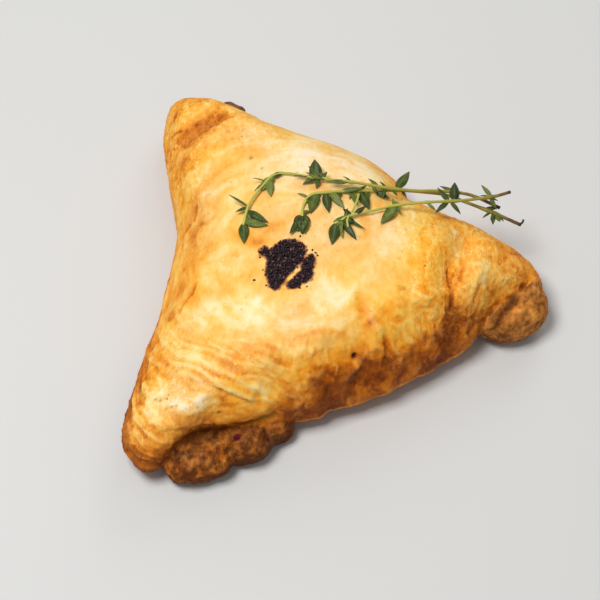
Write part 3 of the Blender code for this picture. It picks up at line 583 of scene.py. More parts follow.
def dough_roll(bm, middle, half, turn, levels=ROLL_LEVELS):
    """One roll of dough, an egg shape cut flat where it meets the floor."""
    verts = bmesh.ops.create_icosphere(bm, subdivisions=levels, radius=1)["verts"]
    for vert in verts:
        vert.co = [math.copysign(abs(c) ** ROLL_SQUARENESS, c) for c in vert.co]
    bmesh.ops.scale(bm, vec=half, verts=verts)
    bmesh.ops.rotate(bm, matrix=turned(turn, "Z"), verts=verts)
    bmesh.ops.translate(bm, vec=middle, verts=verts)
    for vert in verts:
        vert.co.z = max(vert.co.z, ROLL_BASE)


# ================================================================ mesh helpers
def new_object(name, data):
    """An object in the scene."""
    made = bpy.data.objects.new(name, data)
    bpy.context.scene.collection.objects.link(made)
    return made


def mesh_object(name, bm):
    """An object, still drawn in mm, that holds a bmesh."""
    mesh = bpy.data.meshes.new(name)
    bm.to_mesh(mesh)
    bm.free()
    return new_object(name, mesh)


def settle(piece, material, *nodes, slot=None):
    """Bring a finished piece to metres over the origin, and let it stand for its solids."""
    place = Matrix.Scale(MM, 4) @ Matrix.Translation((-BOX_MIDDLE[0], -BOX_MIDDLE[1], 0))
    piece.data.transform(place)
    piece.data.materials.clear()
    piece.data.materials.append(material)
    piece.data.shade_smooth()
    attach(piece, "root")
    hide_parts(*nodes)
    return piece


def rows_of(mesh, key="co"):
    """The places of a mesh's points, or another triple of theirs, one row each."""
    flat = np.empty(len(mesh.vertices) * 3)
    mesh.vertices.foreach_get(key, flat)
    return flat.reshape(-1, 3)


def move_points(mesh, places):
    """Give a mesh new places for its points."""
    mesh.vertices.foreach_set("co", places.astype(np.float32).ravel())
    mesh.update()


def mark_points(mesh, name, values):
    """Store one number a point, for the material to read."""
    layer = mesh.attributes.new(name, "FLOAT", "POINT")
    layer.data.foreach_set("value", np.asarray(values, np.float32))


DRAW = np.random.default_rng(11)
SHUFFLED = np.tile(DRAW.permutation(256), 2)
SLOPES = DRAW.normal(size=(256, 3))
SLOPES /= np.linalg.norm(SLOPES, axis=1)[:, None]
NOISE_GAIN = 1.7


def ripple(places):
    """Smooth noise of about -1 to 1 at places given in units of its patches."""
    cell = np.floor(places).astype(int)
    part = places - cell
    eased = part ** 3 * (part * (part * 6 - 15) + 10)
    total = np.zeros(len(places))
    for corner in np.ndindex(2, 2, 2):
        i, j, k = ((cell + corner) % 256).T
        slope = SLOPES[SHUFFLED[SHUFFLED[SHUFFLED[i] + j] + k]]
        weight = np.prod(np.where(corner, eased, 1 - eased), axis=1)
        total += weight * np.sum(slope * (part - corner), axis=1)
    return NOISE_GAIN * total


def mottle(places, size, octaves, seed):
    """Cloudy noise of about -1 to 1, with patches of a size in mm and finer ones in them."""
    total = np.zeros(len(places))
    for octave in range(octaves):
        shift = (seed * 17.3 + octave * 5.7, seed * 9.1, seed * 23.9)
        total += ripple(places * 2 ** octave / size + shift) * 0.5 ** octave
    return total


def streaks(across, along, name):
    """Noise drawn out along one of two lengths in mm."""
    size, stretch, octaves, seed = STREAKS[name]
    return mottle(np.stack((across, along / stretch, np.zeros_like(across)), axis=1), size, octaves, seed)


def threads(places, size, octaves, seed):
    """A net of thin ridges, 0 between them and 1 along them, with meshes of a size in mm."""
    return np.clip(1 - 2.2 * np.abs(mottle(places, size, octaves, seed)), 0, 1)


FEATURE_REACH = 10
ROUTE_STEPS = 3


def route_gap(points, route):
    """Signed distance in space to a route, and the place along it, for the points near it."""
    gap, along = np.full(len(points), FAR), np.zeros(len(points))
    low, high = route.min(axis=0) - FEATURE_REACH, route.max(axis=0) + FEATURE_REACH
    near = np.flatnonzero(np.all((points > low) & (points < high), axis=1))
    gap[near], along[near] = chain_gap(points[near], route)
    return gap, along


def smooth_route(points, steps):
    """Points along a smooth curve that passes through a chain of points, some steps to a span."""
    points = np.array(points, float)
    ends = np.concatenate(([2 * points[0] - points[1]], points, [2 * points[-1] - points[-2]]))
    route = []
    for a, b, c, d in zip(ends[:-3], ends[1:-2], ends[2:-1], ends[3:]):
        for t in np.arange(steps) / steps:
            route.append(0.5 * (2 * b + (c - a) * t + (2 * a - 5 * b + 4 * c - d) * t ** 2
                                + (3 * b - a - 3 * c + d) * t ** 3))
    route.append(points[-1])
    return np.array(route)


def blot_depth(x, y, blot):
    """Distance in mm from a blot's edge to each plan point, positive inside it."""
    gap, _ = plan_gap(x, y, blot + blot[:1])
    odd = np.zeros(len(x), bool)
    for (ax, ay), (bx, by) in zip(blot, blot[1:] + blot[:1]):
        crossed = (ay > y) != (by > y)
        odd ^= crossed & (x < (bx - ax) * (y - ay) / (by - ay + 1e-12) + ax)
    return np.where(odd, np.abs(gap), -np.abs(gap))


# ================================================================ relief of the crust
# heights in mm: where rays start above everything, and what stands for no skin under a leaf
ABOVE_ALL = 60
NO_SKIN = -50


def surface_tree(mesh):
    """A tree of a mesh's faces, to find heights on it."""
    return BVHTree.FromPolygons(rows_of(mesh).tolist(), [p.vertices for p in mesh.polygons])


def skin_height(tree, x, y):
    """Height in mm of the skin over a plan point, or None beside it."""
    place = tree.ray_cast(Vector((x, y, ABOVE_ALL)), Vector((0, 0, -1)))[0]
    return None if place is None else place.z


class Skin:
    """The crust's points while its relief and its colours are worked out."""

    def __init__(self, mesh):
        self.points = rows_of(mesh)
        self.out = rows_of(mesh, "normal")
        self.tree = surface_tree(mesh)
        self.x, self.y, self.z = self.points.T
        self.angle, self.t = way_out(self.x, self.y)
        self.rolls, self.roll_brown = self.roll_share()
        self.bare = 1 - self.rolls
        self.top = ease(0.15, 0.6, self.out[:, 2]) * self.bare
        self.corner = corner_share(self.angle)
        self.height, self.pale, self.shade, self.dry = np.zeros((4, len(self.points)))
        self.brown = np.full(len(self.points), BROWN_BASE)
        self.from_middle = np.hypot(self.x - DOME_MIDDLE[0], self.y - DOME_MIDDLE[1])
        self.fine = self.cloud("fine")
        self.wide = self.cloud("wide")

    def cloud(self, name):
        return mottle(self.points, *CLOUDS[name])

    def roll_share(self):
        """How much each point belongs to a roll of dough and not to the parcel, and its browning."""
        share, brown = np.zeros((2, len(self.points)))
        for (middle, half, turn), baked in zip(ROLLS, ROLL_BROWN):
            spin = np.array(turned(turn, "Z"))
            reach = np.linalg.norm((self.points - middle) @ spin / half, axis=1)
            mine = ease(1.28, 1.08, reach)
            brown = np.where(mine > share, baked, brown)
            share = np.maximum(share, mine)
        under = np.where(self.t < 0.995, top_height(self.x, self.y) - self.z, 9)
        return share * ease(1, 3, under), brown

    def lift(self, route):
        """Plan points brought up onto the skin."""
        heights = [skin_height(self.tree, px, py) or RIM_HEIGHT for px, py in route]
        return np.array([(px, py, pz) for (px, py), pz in zip(route, heights)])

    def beside(self, route):
        """Distance in space to a route on the skin, and the place along it."""
        return route_gap(self.points, smooth_route(self.lift(route), ROUTE_STEPS))

    def gap_to(self, x, y):
        """Distance in space from every point to a spot on the skin."""
        return np.linalg.norm(self.points - self.lift([(x, y)]), axis=1)

    def toward(self, direction, spread):
        """1 in a direction from the dome's middle, falling off to both sides."""
        return bell(turn_apart(self.angle, direction), spread)

    # pale marks on raised edges and crests: partly pale crust, partly painted highlight
    def paint_pale_and_highlight(self, amount):
        self.pale = np.maximum(self.pale, amount)

    # painted shade, in creases, holes, gaps between layers and under the rolls
    def paint_shade(self, amount):
        self.shade = np.maximum(self.shade, amount)


def press_creases(skin):
    """Creases, pale ridges and soft dents."""
    for route, width, depth, dark, tan in CREASES:
        gap, along = skin.beside(route)
        gap = np.maximum(np.abs(gap) + 0.35 * width * skin.fine, 0)
        fade = fade_ends(along, 0.2, -0.05)
        skin.height -= depth * fade * bell(gap, width)
        skin.height += 0.25 * depth * fade * bell(gap - 2.2 * width, width)
        # painted shade in the crease's bottom
        skin.paint_shade(dark * fade * bell(gap, 0.9 * width))
        skin.brown += tan * fade * bell(gap, 1.7 * width)
    for route, width, rise, white in RIDGES:
        gap, along = skin.beside(route)
        gap = np.maximum(np.abs(gap) + 0.5 * width * skin.fine, 0)
        fade = fade_ends(along, 0.25)
        skin.height += rise * fade * bell(gap, width)
        # pale ridge crests: partly pale crust, partly painted highlight
        skin.paint_pale_and_highlight(white * fade * bell(gap, width))
    for middle, radius, depth in DENTS:
        skin.height -= depth * bell(skin.gap_to(*middle), radius)


def lay_flakes(skin):
    """Sheets of pastry that end in a raised pale edge, partly painted highlight, with a browner step
    before it, partly painted shadow.
    """
    fray = 0.85 + 0.35 * skin.cloud("fray")
    torn = ease(-0.6, 0.1, skin.cloud("torn"))
    for route, rise, band, white, tan in FLAKES:
        gap, along = skin.beside(route)
        gap = gap + 0.45 * skin.wide + 0.15 * skin.fine
        strength = fade_ends(along, 0.12) * fray
        behind = np.maximum(gap, 0)
        lip = ease(-0.45, 0.35, gap) * np.exp(-behind / 4.5)
        skin.height += rise * strength * (lip - 0.35 * bell(gap + 0.9, 0.8))
        edge = ease(-0.5, 0.1, gap) * bell(behind, 1.6 * band)
        # pale band behind the edge: partly pale crust, partly painted highlight
        skin.paint_pale_and_highlight(white * strength * edge * torn)
        # browner step before the edge: partly browning, partly painted shadow under the sheet
        skin.brown += tan * strength * ease(0.3, -0.5, gap) * bell(gap + 1.2, 2.2)


def layer_edges(skin):
    """Streaks of layers beside the flakes, and stacked layer edges round the sides: paler where raised
    and browner where low, partly painted highlight and shade, with painted shade in the gaps at the front
    tip.
    """
    across, along = plan_gap(skin.x, skin.y, LAYER_ROUTE)
    zone = ease(-2, 1, across) * ease(LAYER_REACH, 0.4 * LAYER_REACH, across)
    zone *= ease(0.05, 0.25, along) * ease(1, 0.85, along) * skin.top
    bent = across + 1.6 * skin.cloud("layer_bend")
    flow = streaks(bent, 85 * along, "layers")
    skin.height += LAYER_HEIGHT * zone * flow
    # low streaks browner: partly browning, partly painted shade
    skin.brown += zone * (0.06 - 0.26 * flow)
    mild = np.maximum(skin.toward(*MILD_LEFT), 0.4 * skin.toward(*MILD_BACK)) * skin.top
    mild = np.maximum(zone, mild)
    skin.most = BROWN_MOST - MILDER * mild
    # raised streaks paler: partly pale crust, partly painted highlight
    skin.paint_pale_and_highlight(0.55 * zone * ease(0.2, 0.8, flow))

    side = ease(0.85, 0.45, np.abs(skin.out[:, 2])) * skin.bare
    side *= ease(0.5, 2, skin.z)
    tip = skin.toward(*FRONT_TIP) * ease(0.78, 0.9, skin.t) * skin.bare
    left = skin.toward(*LEFT_SIDE) + 0.6 * skin.toward(*BACK_TIP)
    level = skin.z + 1 * skin.cloud("level")
    round_rim = np.radians(skin.angle) * ROUND_RIM
    layers = streaks(level, round_rim, "side")
    layers += tip * (streaks(level - 0.8 * skin.from_middle, round_rim, "tip") - layers)
    amount = np.clip(1.1 * tip + 0.45 * side * left, 0, 1)
    skin.height += amount * (0.75 * layers + 0.25 * skin.cloud("side_grain"))
    # raised layers paler and low ones browner: partly crust colour, partly painted highlight and shade
    skin.paint_pale_and_highlight(0.4 * amount * ease(0.25, 0.8, layers))
    skin.brown += amount * (0.1 - 0.22 * layers)
    skin.brown += 0.75 * tip * ease(21, 10, skin.z)
    # painted shade in the gaps between the layers at the front tip
    skin.paint_shade(0.65 * tip * ease(-0.2, -0.8, layers))


def crackle(skin):
    """Crinkled skin of the right half, the front, the ears and the rolls, painted paler on its crests:
    partly crust colour, partly painted highlight.
    """
    front = ease(-118, -85, skin.angle) * ease(8, -16, skin.angle)
    front *= ease(0.52, 0.78, skin.t) * ease(1, 4, skin.z) * skin.bare
    slope = skin.from_middle - 0.8 * skin.z
    run = np.radians(skin.angle) * ROUND_FRONT + 1.5 * skin.wide
    folds = streaks(run, slope, "folds")
    wrinkles = streaks(run, slope, "wrinkles")
    skin.height += front * (0.95 * folds + 0.26 * wrinkles)
    # painted highlight on the crests of the front's folds
    skin.crests = front * np.maximum(0.18 * folds + 0.1 * wrinkles, -0.02)
    tufts = front * ease(-0.1, 0.5, skin.cloud("tufts"))
    # pale wrinkle crests: partly pale crust, partly painted highlight
    skin.paint_pale_and_highlight(0.34 * tufts * ease(0.25, 0.7, wrinkles))

    right = ease(18, 36, skin.x + 0.25 * skin.y) * skin.top
    ears = skin.corner * ease(0.5, 0.78, skin.t) * skin.bare
    smooth_ear = skin.toward(*SMOOTH_EAR) * ease(0, -8, skin.y + 50 - 0.5 * (skin.x + 60))
    left = skin.toward(*ROUGH_LEFT) * ease(0.62, 0.85, skin.t) * skin.bare
    rough = 0.85 * right + ears + 0.2 * front + 0.3 * left + 0.9 * skin.rolls
    rough = np.clip(rough * (1 - 0.55 * smooth_ear * skin.bare), 0, 1)
    net = threads(skin.points, *NET) * ease(-0.5, 0.3, skin.cloud("net_patches"))
    skin.pebble = skin.cloud("pebble")
    skin.grain = np.clip(0.15 + rough, 0, 1)
    skin.height += rough * (0.22 * net + 0.14 * skin.pebble) + 0.03 * skin.pebble
    # raised net and pebbles painted paler: partly crust colour, partly painted highlight
    skin.brown -= rough * (0.14 * net + 0.08 * skin.pebble) - 0.08 * rough
    skin.paint_pale_and_highlight(0.2 * rough * ease(0.5, 1, net))
    skin.dry += 0.3 * ears + skin.rolls * (0.5 + 0.5 * ease(20, 50, skin.x)) + 0.1 * left


def brown_and_shade(skin):
    """Browning from the middle to the rim, with its blotches and drier patches, and painted shade on the
    front and under the rolls.
    """
    start = closed_curve(BROWNING, 1, skin.angle)
    strength = closed_curve(BROWNING, 2, skin.angle)
    skin.brown += strength * ease(start, 1, skin.t)
    (left_out, left_in), (right_out, right_in) = FRONT_SPAN
    front = ease(left_out, left_in, skin.angle) * ease(right_out, right_in, skin.angle)
    front *= ease(0.3, 0.6, skin.t)
    # the front side browner: partly browning, partly painted shade
    skin.brown += FRONT_BROWN_AND_SHADE * front * ease(*FRONT_HEIGHTS, skin.z + 0.8 * skin.wide)
    blur = skin.cloud("blotch_edge")
    for x, y, radius, change in BLOTCHES:
        gap = skin.gap_to(x, y) + 0.3 * radius * blur
        skin.brown += change * bell(gap, radius)
    for x, y, radius in DRY_PATCHES:
        skin.dry += bell(skin.gap_to(x, y), radius)
    bent = skin.from_middle + 4 * skin.cloud("swirl_bend")
    swirl = streaks(bent, np.radians(skin.angle) * ROUND_SWIRL, "swirl")
    skin.brown += SWIRL * swirl * skin.top * ease(0.15, 0.4, skin.t)
    skin.brown += 0.07 * skin.cloud("brown_wide") + 0.07 * skin.cloud("brown_fine")
    skin.dry += 0.35 * skin.cloud("dry")
    skin.dry += 0.45 * skin.top * ease(24, 0, skin.x) * ease(0.9, 0.6, skin.t)
    # the front's fold crests painted lighter: painted highlight
    skin.brown = np.minimum(skin.brown, skin.most) - skin.crests
    hem = front * bell(skin.z - HEM_HEIGHT - 0.7 * skin.wide, 0.7) * skin.bare
    skin.height += 0.5 * hem
    skin.brown -= 0.42 * hem
    up = ease(0.2, 0.9, skin.out[:, 2])
    rolled = skin.roll_brown + 0.16 * skin.cloud("roll_brown") - 0.1 * skin.pebble
    # roll tops facing up painted paler: partly drier crumb, partly painted highlight
    rolled -= 0.04 * up
    skin.paint_pale_and_highlight(0.2 * skin.rolls * up * ease(0.1, 0.7, skin.cloud("roll_pale")))
    low = ease(9, 3, skin.z)
    rolled += 0.14 * low
    # painted shade under the front rolls near the floor
    skin.paint_shade(0.5 * skin.rolls * low * ease(30, 10, skin.x))
    skin.brown += 0.9 * (rolled - skin.brown) * skin.rolls
    skin.brown = np.where(skin.out[:, 2] < -0.3, np.maximum(skin.brown, 0.7), skin.brown)


def crust_relief(mesh):
    """Move the skin's points out and in for every crease, layer and grain, and mark its colours."""
    skin = Skin(mesh)
    skin.height += 0.4 * skin.cloud("swell") * ease(0.3, 0.7, skin.t)
    skin.height += 0.45 * skin.rolls * skin.cloud("roll_bumps")
    press_creases(skin)
    lay_flakes(skin)
    layer_edges(skin)
    crackle(skin)
    brown_and_shade(skin)
    low = ease(3, 0.8, skin.z)
    moved = skin.points + skin.out * (skin.height * (1 - 0.9 * low))[:, None]
    for middle, radius, depth, dark in HOLES:
        bite = bell(skin.gap_to(*middle), radius)
        moved -= skin.out * (depth * bite)[:, None]
        # painted shade inside the hole
        skin.paint_shade(np.minimum(1.3 * dark * bite, dark))
    red, stain = np.zeros((2, len(moved)))
    for x, y, radius in RED_SPOTS:
        gap = skin.gap_to(x, y) + 0.3 * radius * skin.fine
        red = np.maximum(red, ease(1.2 * radius, 0.7 * radius, gap))
    for blot in SEED_BLOTS:
        depth = blot_depth(skin.x, skin.y, blot) + 0.5 * skin.fine
        stain = np.maximum(stain, ease(-1.6, 0.5, depth) * skin.top)
    move_points(mesh, np.maximum(moved, [-FAR, -FAR, 0]))
    for name, values in (("brown", skin.brown), ("pale", skin.pale), ("shade", skin.shade), ("red", red),
                         ("grain", skin.grain), ("dry", skin.dry), ("stain", stain)):
        mark_points(mesh, name, np.clip(values, 0, 1))


def make_crust(material):
    """The parcel and its rolls as one even skin, with its relief."""
    bm = bmesh.new()
    parcel_skin(bm)
    for roll in (*ROLLS, ROLL_BRIDGE):
        dough_roll(bm, *roll)
    block = mesh_object("block", bm)
    even = block.modifiers.new("Remesh", "REMESH")
    even.mode = "VOXEL"
    even.voxel_size = VOXEL
    bpy.context.view_layer.update()
    ready = block.evaluated_get(bpy.context.evaluated_depsgraph_get())
    bm = bmesh.new()
    bm.from_mesh(ready.data)
    bpy.data.objects.remove(block)
    for _ in range(SMOOTH_PASSES):
        bmesh.ops.smooth_vert(bm, verts=bm.verts, factor=0.5, use_axis_x=True, use_axis_y=True,
                              use_axis_z=True)
    crust = mesh_object("crust_skin", bm)
    crust_relief(crust.data)
    tree = surface_tree(crust.data)
    settle(crust, material, "crust", slot="baked_crust")
    return tree


# ================================================================ seeds and the leaked bit
def make_seeds(tree, material):
    """The heap of small dark seeds, and the strays round it."""
    draw = random.Random(SEED_RANDOM)
    spots = []
    grid = range(-SEED_GRID_HALF, SEED_GRID_HALF + 1)
    for row in grid:
        for column in grid:
            x = SEED_GRID_X + SEED_PITCH * (column + 0.5 * (row % 2))
            x += draw.uniform(-SEED_JITTER, SEED_JITTER)
            y = 0.87 * SEED_PITCH * row + draw.uniform(-SEED_JITTER, SEED_JITTER)
            spots.append((x, y, draw.choice(SEED_LIFTS)))
    x, y, _ = np.array(spots).T
    depth = np.maximum(*(blot_depth(x, y, blot) for blot in SEED_BLOTS))
    spots = [spot for spot, inward in zip(spots, depth)
             if inward + draw.gauss(0, SEED_EDGE_FRAY) > 0]
    spots += [(x + draw.gauss(0, STRAY_JITTER), y + draw.gauss(0, STRAY_JITTER), 0)
              for x, y in STRAY_SEEDS]
    bm = bmesh.new()
    tone = bm.verts.layers.float.new("tone")
    for x, y, lift in spots:
        size = draw.uniform(*SEED_SIZES)
        tilts = [draw.uniform(-SEED_TILT, SEED_TILT) for _ in range(2)]
        turn = Euler((*tilts, draw.uniform(0, math.pi)))
        shade = draw.random()
        shape = [size * half * draw.uniform(*SEED_UNEVEN) for half in SEED_HALF]
        place = Vector((x, y, (skin_height(tree, x, y) or 0) + SEED_CLEAR + lift))
        spin = turn.to_matrix()
        for vert in bmesh.ops.create_uvsphere(bm, u_segments=6, v_segments=4, radius=1)["verts"]:
            vert.co = place + spin @ Vector([c * half for c, half in zip(vert.co, shape)])
            vert[tone] = shade
    settle(mesh_object("seed_heap", bm), material, "crust")


def make_leak(material):
    """The burnt bit of filling that leaked out behind the back corner."""
    bm = bmesh.new()
    dough_roll(bm, *LEAK, levels=4)
    bumps = mottle(np.array([vert.co for vert in bm.verts]), *LEAK_CLOUDS)
    for vert, bump in zip(bm.verts, bumps):
        vert.co += (vert.co - Vector(LEAK[0])).normalized() * (LEAK_RELIEF * float(bump))
        vert.co.z = max(vert.co.z, 0)
    settle(mesh_object("leaked_filling", bm), material, "crust")


# ================================================================ thyme
def stem_tube(bm, route, radii, along_layer, start, end):
    """A round stem along a route, its ends closed, marked from one share of the sprig to another."""
    ring = None
    count = len(route)
    for k, (place, radius) in enumerate(zip(route, radii)):
        ahead = Vector(route[min(k + 1, count - 1)]) - Vector(route[max(k - 1, 0)])
        turn = ahead.to_track_quat("Z", "Y").to_matrix()
        made = bmesh.ops.create_circle(bm, cap_ends=k in (0, count - 1), segments=STEM_SIDES,
                                       radius=radius)["verts"]
        bmesh.ops.rotate(bm, matrix=turn, verts=made)
        bmesh.ops.translate(bm, vec=place, verts=made)
        share = start + (end - start) * k / (count - 1)
        for vert in made:
            vert[along_layer] = share
        edges = list(dict.fromkeys(edge for vert in made for edge in vert.link_edges))
        if ring:
            bmesh.ops.bridge_loops(bm, edges=ring + edges)
        ring = edges


def leaf_blade(bm, layers, base, leaf, curl, tree, tone):
    """A leaf: a grid drawn to a lance shape, folded at the midrib and curled over its length."""
    heading, length, climb, width, roll = leaf
    across_layer, along_layer, tone_layer = layers
    before = set(bm.verts)
    bmesh.ops.create_grid(bm, x_segments=LEAF_GRID[0], y_segments=LEAF_GRID[1], size=1)
    verts = [vert for vert in bm.verts if vert not in before]
    faces = list(dict.fromkeys(face for vert in verts for face in vert.link_faces))
    half = 0.5 * width * length
    for vert in verts:
        share, across = (1 + vert.co.x) / 2, vert.co.y
        outline = (math.sin(math.pi * min(share ** 0.85, 1)) ** 0.8) * (1.12 - 0.35 * share)
        outline = max(outline, 0.1 if share < 0.5 else 0.04)
        y = across * half * outline
        rise = 0.3 * abs(y) - 0.5 * half * outline * abs(across) ** 5
        bend = curl * share
        vert.co = (length * math.sin(bend) / curl + rise * math.sin(bend), y,
                   length * (math.cos(bend) - 1) / curl + rise * math.cos(bend))
        vert[across_layer] = abs(across)
        vert[along_layer] = share
        vert[tone_layer] = tone
    bmesh.ops.recalc_face_normals(bm, faces=faces)
    made = bmesh.ops.solidify(bm, geom=faces, thickness=LEAF_THICK)["geom"]
    verts = list(dict.fromkeys(verts + [item for item in made if isinstance(item, bmesh.types.BMVert)]))
    turn = turned(heading, "Z")
    bmesh.ops.rotate(bm, matrix=turned(roll, "X"), verts=verts)
    bmesh.ops.rotate(bm, matrix=turned(-climb, "Y"), verts=verts)
    bmesh.ops.rotate(bm, matrix=turn, verts=verts)
    bmesh.ops.translate(bm, vec=base, verts=verts)
    hinge = turn @ Vector((0, -1, 0))
    step = turned(LEAF_TURN_STEP, hinge)
    for _ in range(LEAF_TURNS):
        gaps = [vert.co.z - (skin_height(tree, vert.co.x, vert.co.y) or NO_SKIN) for vert in verts]
        if min(gaps) > LEAF_CLEAR:
            break
        bmesh.ops.rotate(bm, cent=base, matrix=step, verts=verts)


def make_sprig(name, form, tree, stem_green, leaf_green):
    """One sprig of thyme: its stem and its leaves, lying just clear of the skin."""
    draw = random.Random(len(name))
    route = smooth_route(form["stem"], STEM_STEPS)
    radii = np.linspace(*form["radius"], len(route))
    for place, radius in zip(route, radii):
        ground = skin_height(tree, place[0], place[1])
        if ground is not None:
            place[2] = max(place[2], ground + STEM_CLEAR + radius)
    walked = np.concatenate(([0], np.cumsum(np.linalg.norm(np.diff(route, axis=0), axis=1))))
    shares = walked / walked[-1]
    for share, *_ in form["leaves"]:
        radii = radii + KNOT_RISE * bell((shares - share) * walked[-1], KNOT_LENGTH)
    radii = np.minimum(radii, KNOT_MOST * np.linspace(*form["radius"], len(route)))
    bm = bmesh.new()
    along_layer = bm.verts.layers.float.new("along")
    stem_tube(bm, route, radii, along_layer, 0, 1)
    for side in form["sides"]:
        side = smooth_route(side, SIDE_STEM_STEPS)
        at = 0 if side[0][0] > form["stem"][1][0] else 0.8
        stem_tube(bm, side, np.linspace(*SIDE_STEM_RADII, len(side)), along_layer, at, at + 0.01)
    bmesh.ops.recalc_face_normals(bm, faces=bm.faces)
    settle(mesh_object(f"{name}_stem", bm), stem_green, name, slot="thyme")

    bm = bmesh.new()
    layers = [bm.verts.layers.float.new(key) for key in ("across", "along", "tone")]
    for share, *leaf in form["leaves"]:
        base = [np.interp(share * walked[-1], walked, route[:, axis]) for axis in range(3)]
        curl = leaf[5] if len(leaf) > 5 else LEAF_CURL + draw.uniform(*LEAF_CURL_SPREAD)
        leaf_blade(bm, layers, base, leaf[:5], curl, tree, draw.random())
    bmesh.ops.recalc_face_normals(bm, faces=bm.faces)
    settle(mesh_object(f"{name}_leaves", bm), leaf_green, name, slot="thyme")


# ================================================================ materials
def colour(red, green, blue):
    """A colour given as it looks on a screen, 0 to 255, as the shader wants it."""
    scene = [v / 255 for v in (red, green, blue)]
    return tuple(v / 12.92 if v <= 0.04045 else ((v + 0.055) / 1.055) ** 2.4 for v in scene) + (1,)


class Wiring:
    """Short ways to add nodes to one node tree and join them."""

    def __init__(self, tree):
        self.tree = tree

    def node(self, kind, feeds=(), **settings):
        """A new node, its inputs fed from pairs of a key and a socket or plain value."""
        made = self.tree.nodes.new(kind)
        for key, value in settings.items():
            setattr(made, key, value)
        for key, value in feeds:
            if isinstance(value, bpy.types.NodeSocket):
                self.join(value, made.inputs[key])
            else:
                made.inputs[key].default_value = value
        return made

    def join(self, source, target):
        self.tree.links.new(source, target)

    def math(self, operation, first, second=0, clamp=False):
        feeds = ((0, first), (1, second))
        return self.node("ShaderNodeMath", feeds, operation=operation, use_clamp=clamp).outputs[0]

    def times(self, first, second):
        return self.math("MULTIPLY", first, second)

    def mix(self, share, first, second):
        feeds = ((0, share), (6, first), (7, second))
        return self.node("ShaderNodeMix", feeds, data_type="RGBA").outputs[2]

    def clouds(self, place, scale, detail, roughness=0.5):
        feeds = (("Vector", place), ("Scale", scale), ("Detail", detail), ("Roughness", roughness))
        return self.node("ShaderNodeTexNoise", feeds, normalize=True).outputs["Fac"]

    def spread(self, value, low, high, to_low=0, to_high=1):
        feeds = (("Value", value), ("From Min", low), ("From Max", high), ("To Min", to_low),
                 ("To Max", to_high))
        return self.node("ShaderNodeMapRange", feeds, clamp=True).outputs["Result"]

    def ramp(self, value, stops):
        """A colour ramp; each stop is a place and the red, green and blue it shows, 0 to 255."""
        made = self.node("ShaderNodeValToRGB", ((0, value),))
        elements = made.color_ramp.elements
        while len(elements) < len(stops):
            elements.new(0.5)
        for element, (place, *shown) in zip(elements, stops):
            element.position = place
            element.color = colour(*shown)
        return made.outputs[0]

    def object_place(self):
        return self.node("ShaderNodeTexCoord").outputs["Object"]

    def attribute(self, name):
        return self.node("ShaderNodeAttribute", attribute_name=name).outputs["Fac"]

    def uneven(self, mark, place, scale, detail, swing):
        """A mark on the points, made uneven by clouds."""
        cloud = self.spread(self.clouds(place, scale, detail), 0.3, 0.7, -swing, swing)
        return self.math("ADD", self.attribute(mark), cloud, clamp=True)

    def bump(self, height, strength, distance):
        feeds = (("Strength", strength), ("Distance", distance), ("Height", height))
        return self.node("ShaderNodeBump", feeds).outputs["Normal"]


CRUMB_RESULTS = ("Lumps", "Pinholes", "Flecks", "Height")


def crumb_group():
    """Fine crumb of baked dough: masks of tiny lumps, pinholes and pale flecks, and a fine height."""
    group = bpy.data.node_groups.new("Fine crumb", "ShaderNodeTree")
    for label, kind, way in (("Place", "Vector", "INPUT"), ("Grain", "Float", "INPUT"),
                             *((key, "Float", "OUTPUT") for key in CRUMB_RESULTS)):
        group.interface.new_socket(label, in_out=way, socket_type="NodeSocket" + kind)
    w = Wiring(group)
    start, end = w.node("NodeGroupInput"), w.node("NodeGroupOutput")
    place, grain = start.outputs["Place"], start.outputs["Grain"]
    drawn = w.node("ShaderNodeVectorMath", ((0, place), (1, (1, 0.5, 0.7))), operation="MULTIPLY")
    drawn = drawn.outputs[0]
    lumps = w.clouds(drawn, 760, 3, 0.62)
    dust = w.clouds(place, 1900, 2, 0.6)
    cells = w.node("ShaderNodeTexVoronoi", (("Vector", place), ("Scale", 480)), feature="F1")
    dots = w.spread(cells.outputs["Distance"], 0.08, 0.24, 1, 0)
    gate = w.spread(w.clouds(place, 190, 1), 0.58, 0.68)
    pinholes = w.times(w.times(dots, gate), grain)
    crests = w.math("ABSOLUTE", w.math("SUBTRACT", w.clouds(drawn, 560, 2, 0.6), 0.5))
    broken = w.spread(w.clouds(place, 300, 1), 0.42, 0.58)
    flecks = w.times(w.spread(crests, 0.01, 0.055, 1, 0), w.times(broken, grain))
    strength = w.spread(grain, 0, 1, 0.25, 1)
    rough = w.math("ADD", w.times(lumps, strength), w.times(dust, 0.25))
    rough = w.math("ADD", rough, w.times(flecks, 0.5))
    height = w.math("SUBTRACT", rough, pinholes)
    for result, socket in zip((lumps, pinholes, flecks, height), end.inputs):
        w.join(result, socket)
    return group


GLAZED_STOPS = (
    (0, 253, 236, 188),
    (0.15, 252, 223, 148),
    (0.3, 250, 203, 98),
    (0.45, 248, 182, 64),
    (0.6, 242, 156, 38),
    (0.75, 212, 118, 16),
    (0.88, 160, 78, 10),
    (1, 92, 40, 5),
)
DRY_STOPS = (
    (0, 253, 232, 198),
    (0.15, 252, 220, 164),
    (0.3, 249, 202, 128),
    (0.45, 245, 184, 94),
    (0.6, 234, 158, 66),
    (0.75, 206, 130, 56),
    (0.88, 160, 100, 42),
    (1, 100, 56, 22),
)
# colour of pale edges and painted highlights
PALE_EDGE_AND_HIGHLIGHT = colour(255, 220, 138)
# colour of the painted shade
SHADE_BROWN = colour(74, 32, 8)
DARK_JUICE = colour(40, 22, 28)
RED_JUICE = colour(150, 70, 44)
RED_FILLING = colour(84, 14, 26)


